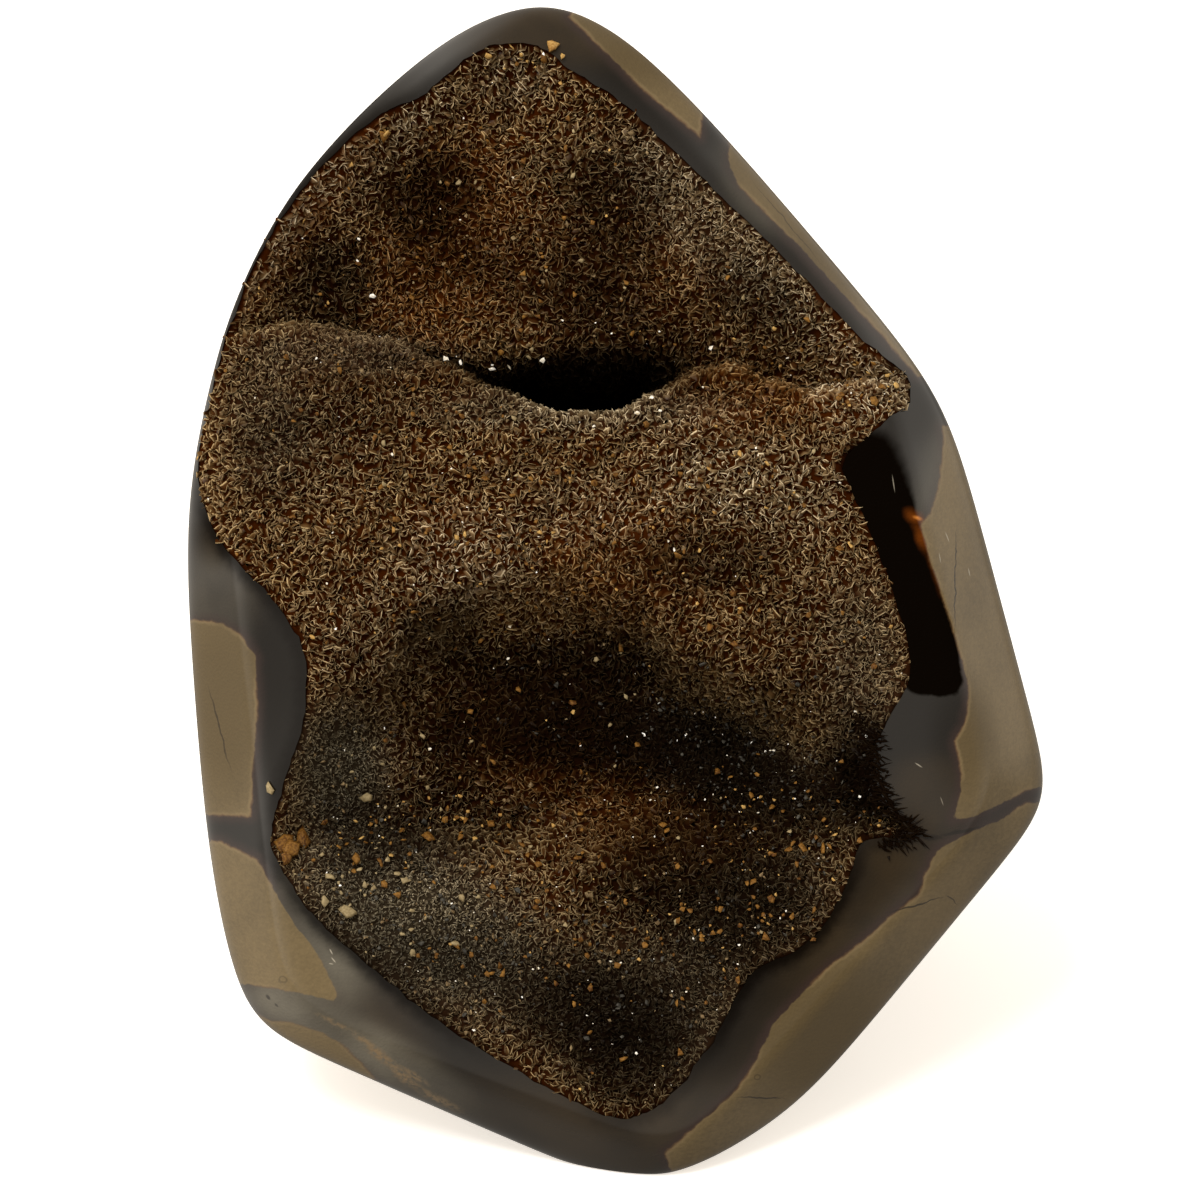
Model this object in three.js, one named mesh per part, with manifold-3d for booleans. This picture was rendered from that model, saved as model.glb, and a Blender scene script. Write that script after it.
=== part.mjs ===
// Septarian nodule: a polished freeform stone that stands on a small flat base and leans
// back. Its front face opens into a wide shallow hollow, lined with one crust of crystals.
// Millimetres, +Z up, front face toward -Y, origin under the middle of the bounding box.
import * as THREE from 'three';
import { mergeVertices } from 'three/addons/utils/BufferGeometryUtils.js';
import Module from 'manifold-3d';

const { degToRad, lerp, smoothstep } = THREE.MathUtils;

// ---------------------------------------------------------------- driving dimensions
// The stone is shaped in its own face frame: u to the right and v up along the polished
// front plane, w out of it. w = 0 is the front plane.
const LEAN = degToRad(25); // how far the front plane leans back from upright
const HEART = new THREE.Vector3(0, 0, -40); // the point that every facet is measured from
const BASE_LEVEL = -100; // height of the sawn base below the middle of the front plane
const EDGE_CRISPNESS = 28; // exponent that blends the facets: higher is crisper
const SKIN_DETAIL = 13; // subdivisions of the stone's outside
const SKIN_EASE = 0.3; // its corners stand this proud, so that its flats lie as far inside

// Polished facets: [turn from +u in degrees, tilt toward the front in degrees, reach].
const FACETS = [
  [0, 90, 40], // front plane
  // sides, anticlockwise from the right
  [15, 2, 74.5],
  [40, 4, 76.5],
  [56, 2, 93],
  [95, 0, 113],
  [130, 2, 101.5],
  [148, 2, 91],
  [165, 2, 82.5],
  [184, 2, 79],
  [200, -4, 88],
  [246, -2, 99],
  [-70, -10, 99],
  [-39, -2, 89.5],
  // bevels round the front plane
  [8, 42, 74.5],
  [38, 42, 77.5],
  [125, 40, 100],
  [186, 45, 75],
  [249, 48, 91],
  [-42, 45, 85],
  // back
  [90, -62, 38],
  [80, -28, 82],
  [150, -42, 66],
  [25, -42, 62],
  [200, -38, 70],
  [-30, -38, 74],
  [-90, -50, 85],
];

// Mouth of the hollow in the front face, clockwise from the top: [u, v].
const MOUTH = [
  [-11.5, 102.5], [-6.5, 99], [3.5, 92.5], [18, 79], [33.5, 64], [48, 49], [57.5, 41],
  [57.5, 36.5], [52.5, 33], [45, 25], [47, 19.5], [53.5, 3.5], [57.5, -13.5], [52.5, -23.5],
  [50.5, -29.5], [52.5, -37], [58, -43], [48.5, -45], [46, -52], [39, -63], [28.5, -69],
  [20, -83], [11.5, -93], [4, -96], [-8, -91], [-30, -78], [-40.5, -69.5], [-51.5, -60],
  [-57, -53], [-61, -44.5], [-58.5, -34], [-55, -22], [-55, -9], [-61.5, 1], [-70.5, 11.5],
  [-74.5, 22.5], [-71, 37], [-66.5, 51], [-61, 64], [-51, 79], [-40, 89.5], [-33, 93],
  [-21.5, 102],
];
const MOUTH_SAMPLES = 2; // points of the smooth outline for each point above

// Lines across the hollow, left to right: [u, v].
const RIDGE = [ // crest where the boulder stands in front of the upper bed
  [-68, 49], [-57, 51], [-40, 48.5], [-30, 44], [-20, 39.5], [-7, 35.5], [3, 35.5],
  [10, 38.5], [19, 42.5], [25, 43.5], [32, 40], [40, 38.5], [50, 40.5], [58, 41],
];
const UNDERCUT = [ // where the boulder turns inward
  [-60, -22], [-42, -20], [-36, -8], [-22, 0], [-7, 1], [7, -4], [18, -15], [30, -19],
  [46, -26], [58, -30],
];
const LEDGE_LEVEL = -46; // v of the step at the top of the lower bed

// Depths of the crust's surface below the stone's outer surface.
const LIP = 1.3; // at the mouth
const BANK = 11; // distance from the mouth over which the hollow reaches most of its depth
const UPPER_BED = 10.5;
const UPPER_BED_SLOPE = { drop: 7, reach: 13 }; // the bed falls away toward the ridge
const BOULDER = 2.2;
const RECESS = 13;
const LOWER_BED = 5;
const RIDGE_WIDTH = 1.3;
const UNDERCUT_WIDTH = 7;
const LEDGE_WIDTH = { left: 2, right: 9, from: -40, to: 0 };
const HOLE = { u: -4.6, halfLength: 17, reach: 5.5, drop: 26 }; // deep slot over the ridge

// Swells (+) and dips (-) of the crust: middle, half sizes, turn in degrees, height.
const SWELLS = [
  { u: 0, v: 80, long: 14, wide: 9, turn: 0, rise: 3.5 },
  { u: 22, v: 62, long: 18, wide: 8, turn: -45, rise: 3 },
  { u: -36, v: 68, long: 15, wide: 11, turn: 50, rise: -2 },
  { u: -46, v: 24, long: 16, wide: 13, turn: 10, rise: 1.6 },
  { u: 30, v: 22, long: 15, wide: 10, turn: -15, rise: 2.2 },
  { u: 42, v: -7, long: 10, wide: 15, turn: 0, rise: 1.5 },
  { u: -2, v: 17, long: 9, wide: 17, turn: 0, rise: -2.6 },
  { u: 29, v: -26, long: 21, wide: 6, turn: -18, rise: -12 },
  { u: -16, v: -14, long: 17, wide: 8, turn: 5, rise: -4 },
  { u: -8, v: -31, long: 14, wide: 8, turn: 0, rise: 3 },
  { u: -49, v: -33, long: 9, wide: 9, turn: 0, rise: -1.5 },
  { u: -28, v: -62, long: 13, wide: 9, turn: -30, rise: 1.5 },
  { u: 4, v: -72, long: 12, wide: 10, turn: 0, rise: -1.6 },
];

// Crust and crystals.
const GAP = 0.3; // between the crust and the stone
const CRUST = { lip: 0.8, middle: 3, reach: 5 }; // thickness at the mouth and farther in
const CRYSTAL_STEP = 3.5; // spacing of the lattice whose points the crystals stand on
const CRYSTAL_RISE = { least: 1.3, most: 2.8 };
const CRYSTAL_JITTER = 0.32; // share of the spacing
const TIP_COVER = 0.6; // the tips stay this far inside the polished surface
const UNDERSIDE_STEP = 8; // spacing of the coarser lattice under the crust
const OPEN_SIDE = 30; // the cutting prism ends this far in front of the front plane
const DEEP_SIDE = -75; // and this far behind it

// ---------------------------------------------------------------- stone's outside
const facets = FACETS.map(([turn, tilt, reach]) => {
  const [a, b] = [degToRad(turn), degToRad(tilt)];
  const normal = new THREE.Vector3(Math.cos(a) * Math.cos(b), Math.sin(a) * Math.cos(b), Math.sin(b));
  return normal.divideScalar(reach);
});

// 1 on the stone's surface, less inside it, and in proportion to the distance from HEART.
function spread(fromHeart) {
  let sum = 0;
  for (const facet of facets) sum += Math.max(0, facet.dot(fromHeart)) ** EDGE_CRISPNESS;
  return sum ** (1 / EDGE_CRISPNESS);
}

// w of the front of the stone over a point of the front plane.
function frontLevel(u, v) {
  const point = new THREE.Vector3(u, v, 0).sub(HEART);
  const isOutside = (w) => spread(point.setZ(w - HEART.z)) > 1;
  const step = 2;
  let inner = 0;
  while (isOutside(inner) && inner > HEART.z) inner -= step;
  let outer = inner + step;
  for (let halving = 0; halving < 12; halving += 1) {
    const middle = (inner + outer) / 2;
    if (isOutside(middle)) outer = middle;
    else inner = middle;
  }
  return inner;
}

// ---------------------------------------------------------------- mouth of the hollow
const mouthCurve = new THREE.CatmullRomCurve3(
  MOUTH.map(([u, v]) => new THREE.Vector3(u, v, 0)), true, 'centripetal',
);
const mouth = mouthCurve.getPoints(MOUTH.length * MOUTH_SAMPLES).slice(0, -1)
  .map(({ x, y }) => new THREE.Vector2(x, y));

function isInMouth(point) {
  let inside = false;
  mouth.forEach((a, i) => {
    const b = mouth[(i + 1) % mouth.length];
    const crosses = (a.y > point.y) !== (b.y > point.y);
    if (crosses && point.x < a.x + ((b.x - a.x) * (point.y - a.y)) / (b.y - a.y)) inside = !inside;
  });
  return inside;
}

// Nearest point of the mouth's outline, and the distance inside it (negative outside).
function nearestOnMouth(u, v) {
  const point = new THREE.Vector3(u, v, 0);
  const edge = new THREE.Line3();
  const foot = new THREE.Vector3();
  const nearest = new THREE.Vector3();
  let least = Infinity;
  mouth.forEach((a, i) => {
    const b = mouth[(i + 1) % mouth.length];
    edge.start.set(a.x, a.y, 0);
    edge.end.set(b.x, b.y, 0);
    edge.closestPointToPoint(point, true, foot);
    const away = foot.distanceTo(point);
    if (away < least) {
      least = away;
      nearest.copy(foot);
    }
  });
  return { nearest, inside: isInMouth(point) ? least : -least };
}

// The mouth's outline drawn in by a small distance, as a prism through the front.
function mouthPrism(inset) {
  const outline = mouth.map((point, i) => {
    const before = mouth[(i + mouth.length - 1) % mouth.length];
    const after = mouth[(i + 1) % mouth.length];
    const inward = new THREE.Vector2(after.y - before.y, before.x - after.x).normalize();
    return inward.multiplyScalar(inset).add(point);
  });
  const options = { depth: OPEN_SIDE - DEEP_SIDE, bevelEnabled: false, steps: 1 };
  return new THREE.ExtrudeGeometry(new THREE.Shape(outline), options).translate(0, 0, DEEP_SIDE);
}

// ---------------------------------------------------------------- surface of the crust
// v of a line across the hollow, at u.
function levelOf(line, u) {
  const last = line.length - 1;
  const at = THREE.MathUtils.clamp(u, line[0][0], line[last][0]);
  const next = Math.max(1, line.findIndex(([lineU]) => lineU >= at));
  const [[u0, v0], [u1, v1]] = [line[next - 1], line[next]];
  return lerp(v0, v1, smoothstep(at, u0, u1));
}

const rises = (distance, width) => smoothstep(distance, -width, width);

function swellAt(u, v) {
  return SWELLS.reduce((total, swell) => {
    const turn = degToRad(swell.turn);
    const [du, dv] = [u - swell.u, v - swell.v];
    const along = (du * Math.cos(turn) + dv * Math.sin(turn)) / swell.long;
    const across = (dv * Math.cos(turn) - du * Math.sin(turn)) / swell.wide;
    return total + swell.rise * Math.exp(-along * along - across * across);
  }, 0);
}

// Low waves that keep the beds from looking smooth.
function rippleAt(u, v) {
  const bend = 2.2 * Math.sin(v / 11 + 0.6) + 1.7 * Math.sin(u / 13);
  return 0.8 * Math.sin(u / 4.6 + bend) * Math.sin(v / 5.2 - bend) + 0.5 * Math.sin((u + v) / 3.1 + bend);
}

// Depth of the hollow where its floor lies well inside the mouth.
function bedDepth(u, v) {
  const above = v - levelOf(RIDGE, u);
  const upper = rises(above, RIDGE_WIDTH);
  const boulder = rises(v - levelOf(UNDERCUT, u), UNDERCUT_WIDTH);
  const toRight = smoothstep(u, LEDGE_WIDTH.from, LEDGE_WIDTH.to);
  const lower = rises(LEDGE_LEVEL - v, lerp(LEDGE_WIDTH.left, LEDGE_WIDTH.right, toRight));
  const slope = UPPER_BED_SLOPE.drop * Math.exp(-Math.max(0, above) / UPPER_BED_SLOPE.reach);
  const alongHole = ((u - HOLE.u) / HOLE.halfLength) ** 4;
  const hole = HOLE.drop * Math.exp(-alongHole - (Math.max(0, above) / HOLE.reach) ** 2);
  const belowRidge = lerp(lerp(RECESS, BOULDER, boulder), LOWER_BED, lower);
  return lerp(belowRidge, UPPER_BED + slope + hole, upper);
}

// w of the crust's surface, without its crystals, and the distance inside the mouth.
function crustLevel(u, v) {
  const { nearest, inside } = nearestOnMouth(u, v);
  const [atU, atV] = inside > 0 ? [u, v] : [nearest.x, nearest.y];
  const bank = 1 - Math.exp(-Math.max(0, inside) / BANK);
  const bed = bedDepth(u, v) - swellAt(u, v) - rippleAt(u, v);
  return { level: frontLevel(atU, atV) - LIP - bank * Math.max(0, bed), inside };
}

// w of the crust's underside: below all of the crust's surface within a lattice step.
function undersideLevel(u, v) {
  const { level, inside } = crustLevel(u, v);
  const thickness = lerp(CRUST.lip, CRUST.middle, 1 - Math.exp(-Math.max(0, inside) / CRUST.reach));
  let lowest = level;
  const sides = 8;
  for (let side = 0; side < sides; side += 1) {
    const turn = (side / sides) * 2 * Math.PI;
    const [du, dv] = [UNDERSIDE_STEP * Math.cos(turn), UNDERSIDE_STEP * Math.sin(turn)];
    if (nearestOnMouth(u + du, v + dv).inside > 0) {
      lowest = Math.min(lowest, crustLevel(u + du, v + dv).level);
    }
  }
  return lowest - thickness;
}

// ---------------------------------------------------------------- solids
const wasm = await Module();
wasm.setup();

function solidOf(geometry) {
  const bare = geometry.clone();
  bare.deleteAttribute('normal');
  bare.deleteAttribute('uv');
  const merged = mergeVertices(bare);
  const mesh = new wasm.Mesh({
    numProp: 3,
    vertProperties: Float32Array.from(merged.attributes.position.array),
    triVerts: Uint32Array.from(merged.index.array),
  });
  return new wasm.Manifold(mesh);
}

function geometryOf(solid) {
  const { vertProperties, triVerts } = solid.getMesh();
  const geometry = new THREE.BufferGeometry();
  geometry.setAttribute('position', new THREE.BufferAttribute(vertProperties, 3));
  geometry.setIndex(new THREE.BufferAttribute(triVerts, 1));
  return geometry;
}

// From the face frame, leaning back, to the upright frame with +Z up.
const stand = new THREE.Matrix4().makeRotationX(Math.PI / 2 - LEAN);

// A slab over the whole hollow whose top is shaped by placeVertex(i, j, u, v) => [u, v, w].
// The rows of its lattice lean over, so that every point has six neighbours all round it.
function latticeSlab(step, placeVertex) {
  const box = new THREE.Box2().setFromPoints(mouth).expandByScalar(2 * UNDERSIDE_STEP);
  const rowStep = step * Math.sin(Math.PI / 3);
  const rows = Math.ceil((box.max.y - box.min.y) / rowStep);
  const columns = Math.ceil((box.max.x - box.min.x) / step + rows / 2);
  const slab = new THREE.BoxGeometry(columns, rows, 2, columns, rows, 1);
  const position = slab.attributes.position;
  const placed = new Map();
  for (let k = 0; k < position.count; k += 1) {
    const [i, j] = [position.getX(k) + columns / 2, position.getY(k) + rows / 2];
    const [u, v] = [box.min.x + (i - j / 2) * step, box.min.y + j * rowStep];
    const key = `${i},${j}`;
    if (!placed.has(key)) placed.set(key, placeVertex(i, j, u, v));
    const [pu, pv, pw] = placed.get(key);
    position.setXYZ(k, pu, pv, position.getZ(k) > 0 ? pw : DEEP_SIDE);
  }
  return slab;
}

// Repeatable random numbers from 0 to 1 for each lattice point.
function scatter(i, j, salt) {
  const value = Math.sin(i * 127.1 + j * 311.7 + salt * 74.7) * 43758.5453;
  return value - Math.floor(value);
}

// Every third lattice point is the tip of a crystal, and the six round it are its foot.
function crystalVertex(i, j, u, v) {
  const isTip = (i + j) % 3 === 0;
  const jitter = CRYSTAL_JITTER * CRYSTAL_STEP * (isTip ? 1.4 : 0.8);
  const pu = u + jitter * (2 * scatter(i, j, 1) - 1);
  const pv = v + jitter * (2 * scatter(i, j, 2) - 1);
  const { level, inside } = crustLevel(pu, pv);
  if (!isTip || inside <= 0) return [pu, pv, level];
  const rise = lerp(CRYSTAL_RISE.least, CRYSTAL_RISE.most, scatter(i, j, 3));
  return [pu, pv, Math.min(level + rise, frontLevel(pu, pv) - TIP_COVER)];
}

function makeCrust(underside) {
  const surface = solidOf(latticeSlab(CRYSTAL_STEP, crystalVertex));
  const crust = surface.intersect(solidOf(mouthPrism(GAP))).subtract(underside);
  return geometryOf(crust).applyMatrix4(stand);
}

function makeStone(underside) {
  const skin = new THREE.IcosahedronGeometry(1, SKIN_DETAIL);
  const position = skin.attributes.position;
  const point = new THREE.Vector3();
  for (let k = 0; k < position.count; k += 1) {
    point.fromBufferAttribute(position, k);
    point.setLength(1 / spread(point) + SKIN_EASE).add(HEART);
    position.setXYZ(k, point.x, point.y, point.z);
  }
  const floor = underside.translate([0, 0, -GAP]);
  const hollow = solidOf(mouthPrism(0)).subtract(floor);
  const hollowed = geometryOf(solidOf(skin).subtract(hollow)).applyMatrix4(stand);
  const size = 600;
  const ground = new THREE.BoxGeometry(size, size, size).translate(0, 0, BASE_LEVEL - size / 2);
  return geometryOf(solidOf(hollowed).subtract(solidOf(ground)));
}

// ---------------------------------------------------------------- the object
const underside = solidOf(latticeSlab(UNDERSIDE_STEP, (i, j, u, v) => [u, v, undersideLevel(u, v)]));

const stone = new THREE.Mesh(
  makeStone(underside),
  new THREE.MeshStandardMaterial({ color: 0x4a4335, roughness: 0.22, metalness: 0 }),
);
stone.name = 'stone';

const crystalCrust = new THREE.Mesh(
  makeCrust(underside),
  new THREE.MeshStandardMaterial({ color: 0x4d3a26, roughness: 0.5, metalness: 0, flatShading: true }),
);
crystalCrust.name = 'crystal_crust';

const nodule = new THREE.Group();
nodule.add(stone, crystalCrust);

// Stand the nodule on the origin, at the middle of its bounding box.
const box = new THREE.Box3().setFromObject(nodule);
const middle = box.getCenter(new THREE.Vector3());
nodule.position.set(-middle.x, -middle.y, -box.min.z);

export default nodule;
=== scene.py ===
"""A polished septarian nodule whose open face is lined with small brown calcite crystals."""

import functools
import math

import bmesh
import bpy
import numpy as np
from mathutils import Matrix, Vector, geometry, noise


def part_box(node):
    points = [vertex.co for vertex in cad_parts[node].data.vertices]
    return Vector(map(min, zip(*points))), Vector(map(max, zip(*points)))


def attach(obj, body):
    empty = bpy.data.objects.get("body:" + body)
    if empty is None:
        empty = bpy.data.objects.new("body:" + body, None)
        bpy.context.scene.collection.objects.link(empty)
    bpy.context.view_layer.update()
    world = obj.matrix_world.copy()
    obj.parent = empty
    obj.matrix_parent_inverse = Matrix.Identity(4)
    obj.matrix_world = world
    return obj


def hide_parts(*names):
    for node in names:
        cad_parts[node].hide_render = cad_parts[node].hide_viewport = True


bl_info = {
    "name": "Septarian Nodule",
    "version": (1, 0, 0),
    "blender": (4, 5, 0),
    "location": "3D View > Sidebar > Nodule",
    "description": "Builds a polished septarian nodule with a crystal-lined hollow",
    "category": "Object",
}

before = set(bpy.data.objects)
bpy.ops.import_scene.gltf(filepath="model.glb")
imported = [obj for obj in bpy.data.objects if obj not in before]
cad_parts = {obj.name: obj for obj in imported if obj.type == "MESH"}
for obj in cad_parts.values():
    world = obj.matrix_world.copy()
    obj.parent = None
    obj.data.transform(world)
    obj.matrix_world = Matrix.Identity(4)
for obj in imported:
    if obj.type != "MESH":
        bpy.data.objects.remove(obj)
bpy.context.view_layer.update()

# ------------------------------------------------------------------ the stone's own frame
# The shape is worked out in millimetres in the stone's face frame: u to the right and v up
# along the polished front plane, w out of it. MM turns it into Blender's metres.
MM = 0.001
LEAN = math.radians(25)
HEART = np.array([0.0, 0.0, -40.0])
BASE_LEVEL = -100.0
CORNER_EASE = 28  # exponent that blends the facets of one ring: higher is crisper
EDGE_EASE = 75  # exponent that blends one ring with the next
VIEW_DISTANCE = 600.0  # from the front plane, along w

# Polished facets, ring by ring: (turn from +u, tilt toward the front, reach), in degrees and
# millimetres.
FACETS = {
    "front": ((0, 90, 40),),
    "sides": (
        (15, 2, 74.5), (40, 4, 76.5), (56, 2, 93), (95, 0, 113), (130, 2, 101.5), (148, 2, 91),
        (165, 2, 82.5), (184, 2, 79), (200, -4, 88), (246, -2, 99), (-70, -10, 99),
        (-39, -2, 89.5),
    ),
    "bevels": (
        (14, 42, 72.6), (45, 42, 79.5), (125, 40, 100), (186, 45, 75), (249, 48, 91),
        (-42, 45, 85),
    ),
    "back": (
        (90, -62, 38), (80, -28, 82), (150, -42, 66), (25, -42, 62), (200, -38, 70),
        (-30, -38, 74), (-90, -50, 85),
    ),
}

# Mouth of the hollow, clockwise from the top.
MOUTH = (
    (-11.5, 102.5), (-6.5, 99), (3.5, 92.5), (18, 79), (33.5, 64), (48, 49), (57.5, 41),
    (57.5, 36.5), (52.5, 33), (45, 25), (47, 19.5), (53.5, 3.5), (57.5, -13.5), (52.5, -23.5),
    (50.5, -29.5), (52.5, -37), (58, -43), (48.5, -45), (46, -52), (39, -63), (28.5, -69),
    (20, -83), (11.5, -93), (4, -96), (-8, -91), (-30, -78), (-40.5, -69.5), (-51.5, -60),
    (-57, -53), (-61, -44.5), (-58.5, -34), (-55, -22), (-55, -9), (-61.5, 1), (-70.5, 11.5),
    (-74.5, 22.5), (-71, 37), (-66.5, 51), (-61, 64), (-51, 79), (-40, 89.5), (-33, 93),
    (-21.5, 102),
)

# Here the stone has broken almost to its side: u, v, long and wide half sizes, turn, and how
# much farther out the mouth runs.
THIN_SIDE = (-63, 57, 40, 16, 62, 1.9)

# How far the rim of the mouth and the beds of the crust wander, and how finely.
RAGGED_RIM = 0.45
RIM_GRAIN = 0.3
ROUGH_BED = 0.45
BED_GRAIN = 0.35

# Lines across the hollow, left to right.
RIDGE = (
    (-68, 49), (-57, 51), (-40, 48.5), (-30, 44), (-20, 39.5), (-7, 35.5), (3, 35.5),
    (10, 38.5), (19, 42.5), (25, 43.5), (32, 40), (40, 38.5), (50, 40.5), (58, 41),
)
UNDERCUT = (
    (-60, -22), (-42, -20), (-36, -8), (-22, 0), (-7, 1), (7, -4), (18, -15), (30, -19),
    (46, -26), (58, -30),
)
LEDGE_LEVEL = -46.0

# Depths of the crust below the stone's outer surface.
LIP = 0.6
BANK = 11.0
UPPER_BED = 10.5
UPPER_BED_SLOPE = (7.0, 13.0)
BOULDER = 2.2
RECESS = 18.0
LOWER_BED = 5.0
RIDGE_WIDTH = 1.3
UNDERCUT_WIDTH = 7.0
LEDGE_WIDTH = {"left": 2.0, "right": 9.0, "from": -40.0, "to": 0.0}
HOLE = {"u": -4.6, "half_length": 17.0, "reach": 5.5, "drop": 26.0}

# Swells (+) and dips (-) of the crust: u, v, long and wide half sizes, turn, rise.
SWELLS = (
    (0, 80, 14, 9, 0, 3.5), (22, 62, 18, 8, -45, 3), (-36, 68, 15, 11, 50, -2),
    (-46, 24, 16, 13, 10, 1.6), (30, 22, 15, 10, -15, 2.2), (42, -7, 10, 15, 0, 1.5),
    (-2, 17, 9, 17, 0, -2.6), (29, -26, 21, 6, -18, -12), (-16, -14, 17, 8, 5, -4),
    (-8, -31, 14, 8, 0, 3), (-49, -33, 9, 9, 0, -1.5), (-28, -62, 13, 9, -30, 1.5),
    (4, -72, 12, 10, 0, -1.6),
)

# Outlines of the limestone on the polished front, as seen square on, in millimetres on the
# front plane. They run past the stone's edge, and what lies between them is calcite.
LIMESTONE = {
    "left": (
        (-74.6, -3.7), (-69.9, -4.3), (-66.6, -6.5), (-63.8, -10.2), (-63.4, -20), (-64.2, -31),
        (-64.6, -40), (-70.5, -39.8), (-90, -39.6), (-90, -3.7),
    ),
    "lower_left": (
        (-70.3, -44.6), (-63.3, -48.1), (-59, -56), (-56.3, -60.3), (-53.6, -63.6),
        (-51.4, -67), (-49.8, -70.5), (-48.4, -73.2), (-49.2, -74.2), (-57.9, -72.2),
        (-65.5, -71), (-85, -71), (-90, -44.6),
    ),
    "toe": (
        (-70, -73), (-65.3, -75.3), (-61.6, -77.7), (-57.9, -78.1), (-54.2, -79), (-50.9, -80.3),
        (-48.1, -81.8), (-45.3, -84.6), (-42.6, -87.3), (-41, -89.5), (-50, -100), (-80, -80),
    ),
    "lower_right": (
        (78.6, -37.6), (74.7, -40.4), (68, -43.2), (62.5, -46.2), (60.3, -50.5), (59, -54.6),
        (55.1, -57.4), (49.8, -62.2), (45, -66), (42.7, -67.5), (37.9, -72.2), (32, -78.6),
        (28.5, -85.8), (25, -91), (20.2, -95.3), (12, -102.3), (18, -120), (95, -75),
        (95, -37),
    ),
    "right": (
        (63.4, 32.2), (63.5, 27.8), (62.7, 21), (61, 15.8), (59.3, 13.9), (60.2, 10.5),
        (61.7, 5.5), (64, -1.4), (67, -11.3), (68.2, -16), (68.3, -18.7), (67.5, -22.9),
        (65.6, -26.1), (66.4, -29.2), (66.9, -32.1), (66.8, -35.7), (65.3, -40.5),
        (69, -40.1), (73.8, -37.9), (78.9, -35.2), (100, -30), (100, 32),
    ),
    "crown": (
        (-5.7, 108), (-1.7, 104), (2.6, 99.7), (8.5, 94), (14.4, 89.2), (18.5, 85.8),
        (19.1, 90.7), (24, 100), (0, 116),
    ),
    "shoulder": (
        (23.9, 85.7), (23.9, 80.3), (26.1, 76.2), (32, 70.3), (37.9, 64.4), (42, 59.8),
        (52.2, 49), (58.6, 41.4), (78, 41), (45, 100),
    ),
}

# Calcite on the polished front that looks black: the calcite is dark and clear, and the black over
# it is a painted dark reflection with little shine.
DARK_REFLECTION_OUTLINE = (
    (52, 32.6), (54.2, 31.5), (56, 29), (57.3, 25.6), (57.9, 22.2), (58.6, 18.7), (58.7, 16.3),
    (59.2, 13.9), (60.5, 10), (61.2, 7.2), (63.3, 1.7), (65.3, -3.7), (66.6, -10.2),
    (67.2, -15.4), (66.1, -17.6), (63.8, -17.9), (58.3, -17.6), (56.8, -16.7), (55.9, -14.8),
    (40, -14), (36, 8), (40, 30), (48, 33.4),
)


# ------------------------------------------------------------------ shape of the stone
def direction(turn, tilt):
    """Unit vectors for turns about w and tilts toward it, in radians."""
    return np.stack([np.cos(turn) * np.cos(tilt), np.sin(turn) * np.cos(tilt), np.sin(tilt)], -1)


def facet_normals(ring):
    """Facet normals of one ring divided by their reach, one a row."""
    turn, tilt, reach = np.array(ring, float).T
    return direction(np.radians(turn), np.radians(tilt)) / reach[:, None]


RINGS = [facet_normals(ring) for ring in FACETS.values()]


def spread(from_heart):
    """1 on the stone's surface, less inside it, in proportion to the distance from HEART."""
    total = 0
    for normals in RINGS:
        reached = np.clip(from_heart @ normals.T, 0, None)
        total = total + (reached ** CORNER_EASE).sum(-1) ** (EDGE_EASE / CORNER_EASE)
    return total ** (1 / EDGE_EASE)


def front_level(u, v, step=2.0, steps=20, halvings=10):
    """w of the stone's front over points of the front plane, found by steps and halvings."""
    def is_outside(w):
        return spread(np.stack([u, v, w], -1) - HEART) > 1

    inner = np.zeros_like(u)
    for _ in range(steps):
        inner = np.where(is_outside(inner) & (inner > HEART[2]), inner - step, inner)
    outer = inner + step
    for _ in range(halvings):
        middle = (inner + outer) / 2
        outside = is_outside(middle)
        outer = np.where(outside, middle, outer)
        inner = np.where(outside, inner, middle)
    return inner


def rough_at(u, v, grain, layer, fade, finer):
    """Noise over the front plane, about -1 to 1, of three sizes of waves."""
    places = [Vector((x * grain, y * grain, layer)) for x, y in zip(u, v)]
    return np.array([noise.fractal(place, fade, finer, 3) for place in places])


def eased_loop(points, samples=10):
    """Closed curve through points, which turns evenly and doesn't swing out at short sides."""
    before, after = np.roll(points, 1, 0), np.roll(points, -1, 0)
    beyond = np.roll(points, -2, 0)

    def gap(a, b):
        return np.linalg.norm(b - a, axis=1, keepdims=True) ** 0.5

    d0, d1, d2 = gap(before, points), gap(points, after), gap(after, beyond)
    leave = ((points - before) / d0 - (after - before) / (d0 + d1) + (after - points) / d1) * d1
    reach = ((after - points) / d1 - (beyond - points) / (d1 + d2) + (beyond - after) / d2) * d1
    curve = []
    for t in np.arange(samples) / samples:
        curve.append(
            points * (2 * t**3 - 3 * t**2 + 1) + after * (3 * t**2 - 2 * t**3)
            + leave * (t**3 - 2 * t**2 + t) + reach * (t**3 - t**2)
        )
    return np.stack(curve, 1).reshape(-1, 2)


def mouth_outline():
    """The rim of the hollow: a curve through MOUTH, wider at the thin side and ragged."""
    curve = eased_loop(np.array(MOUTH, float))
    along = unit(np.roll(curve, -1, 0) - np.roll(curve, 1, 0))
    outward = np.column_stack([-along[:, 1], along[:, 0]])
    *thin_side, widening = THIN_SIDE
    ragged = rough_at(*curve.T, RIM_GRAIN, layer=9.1, fade=0.8, finer=2.2)
    shift = widening * patch(*curve.T, *thin_side) + RAGGED_RIM * ragged
    return curve + shift[:, None] * outward


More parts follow.
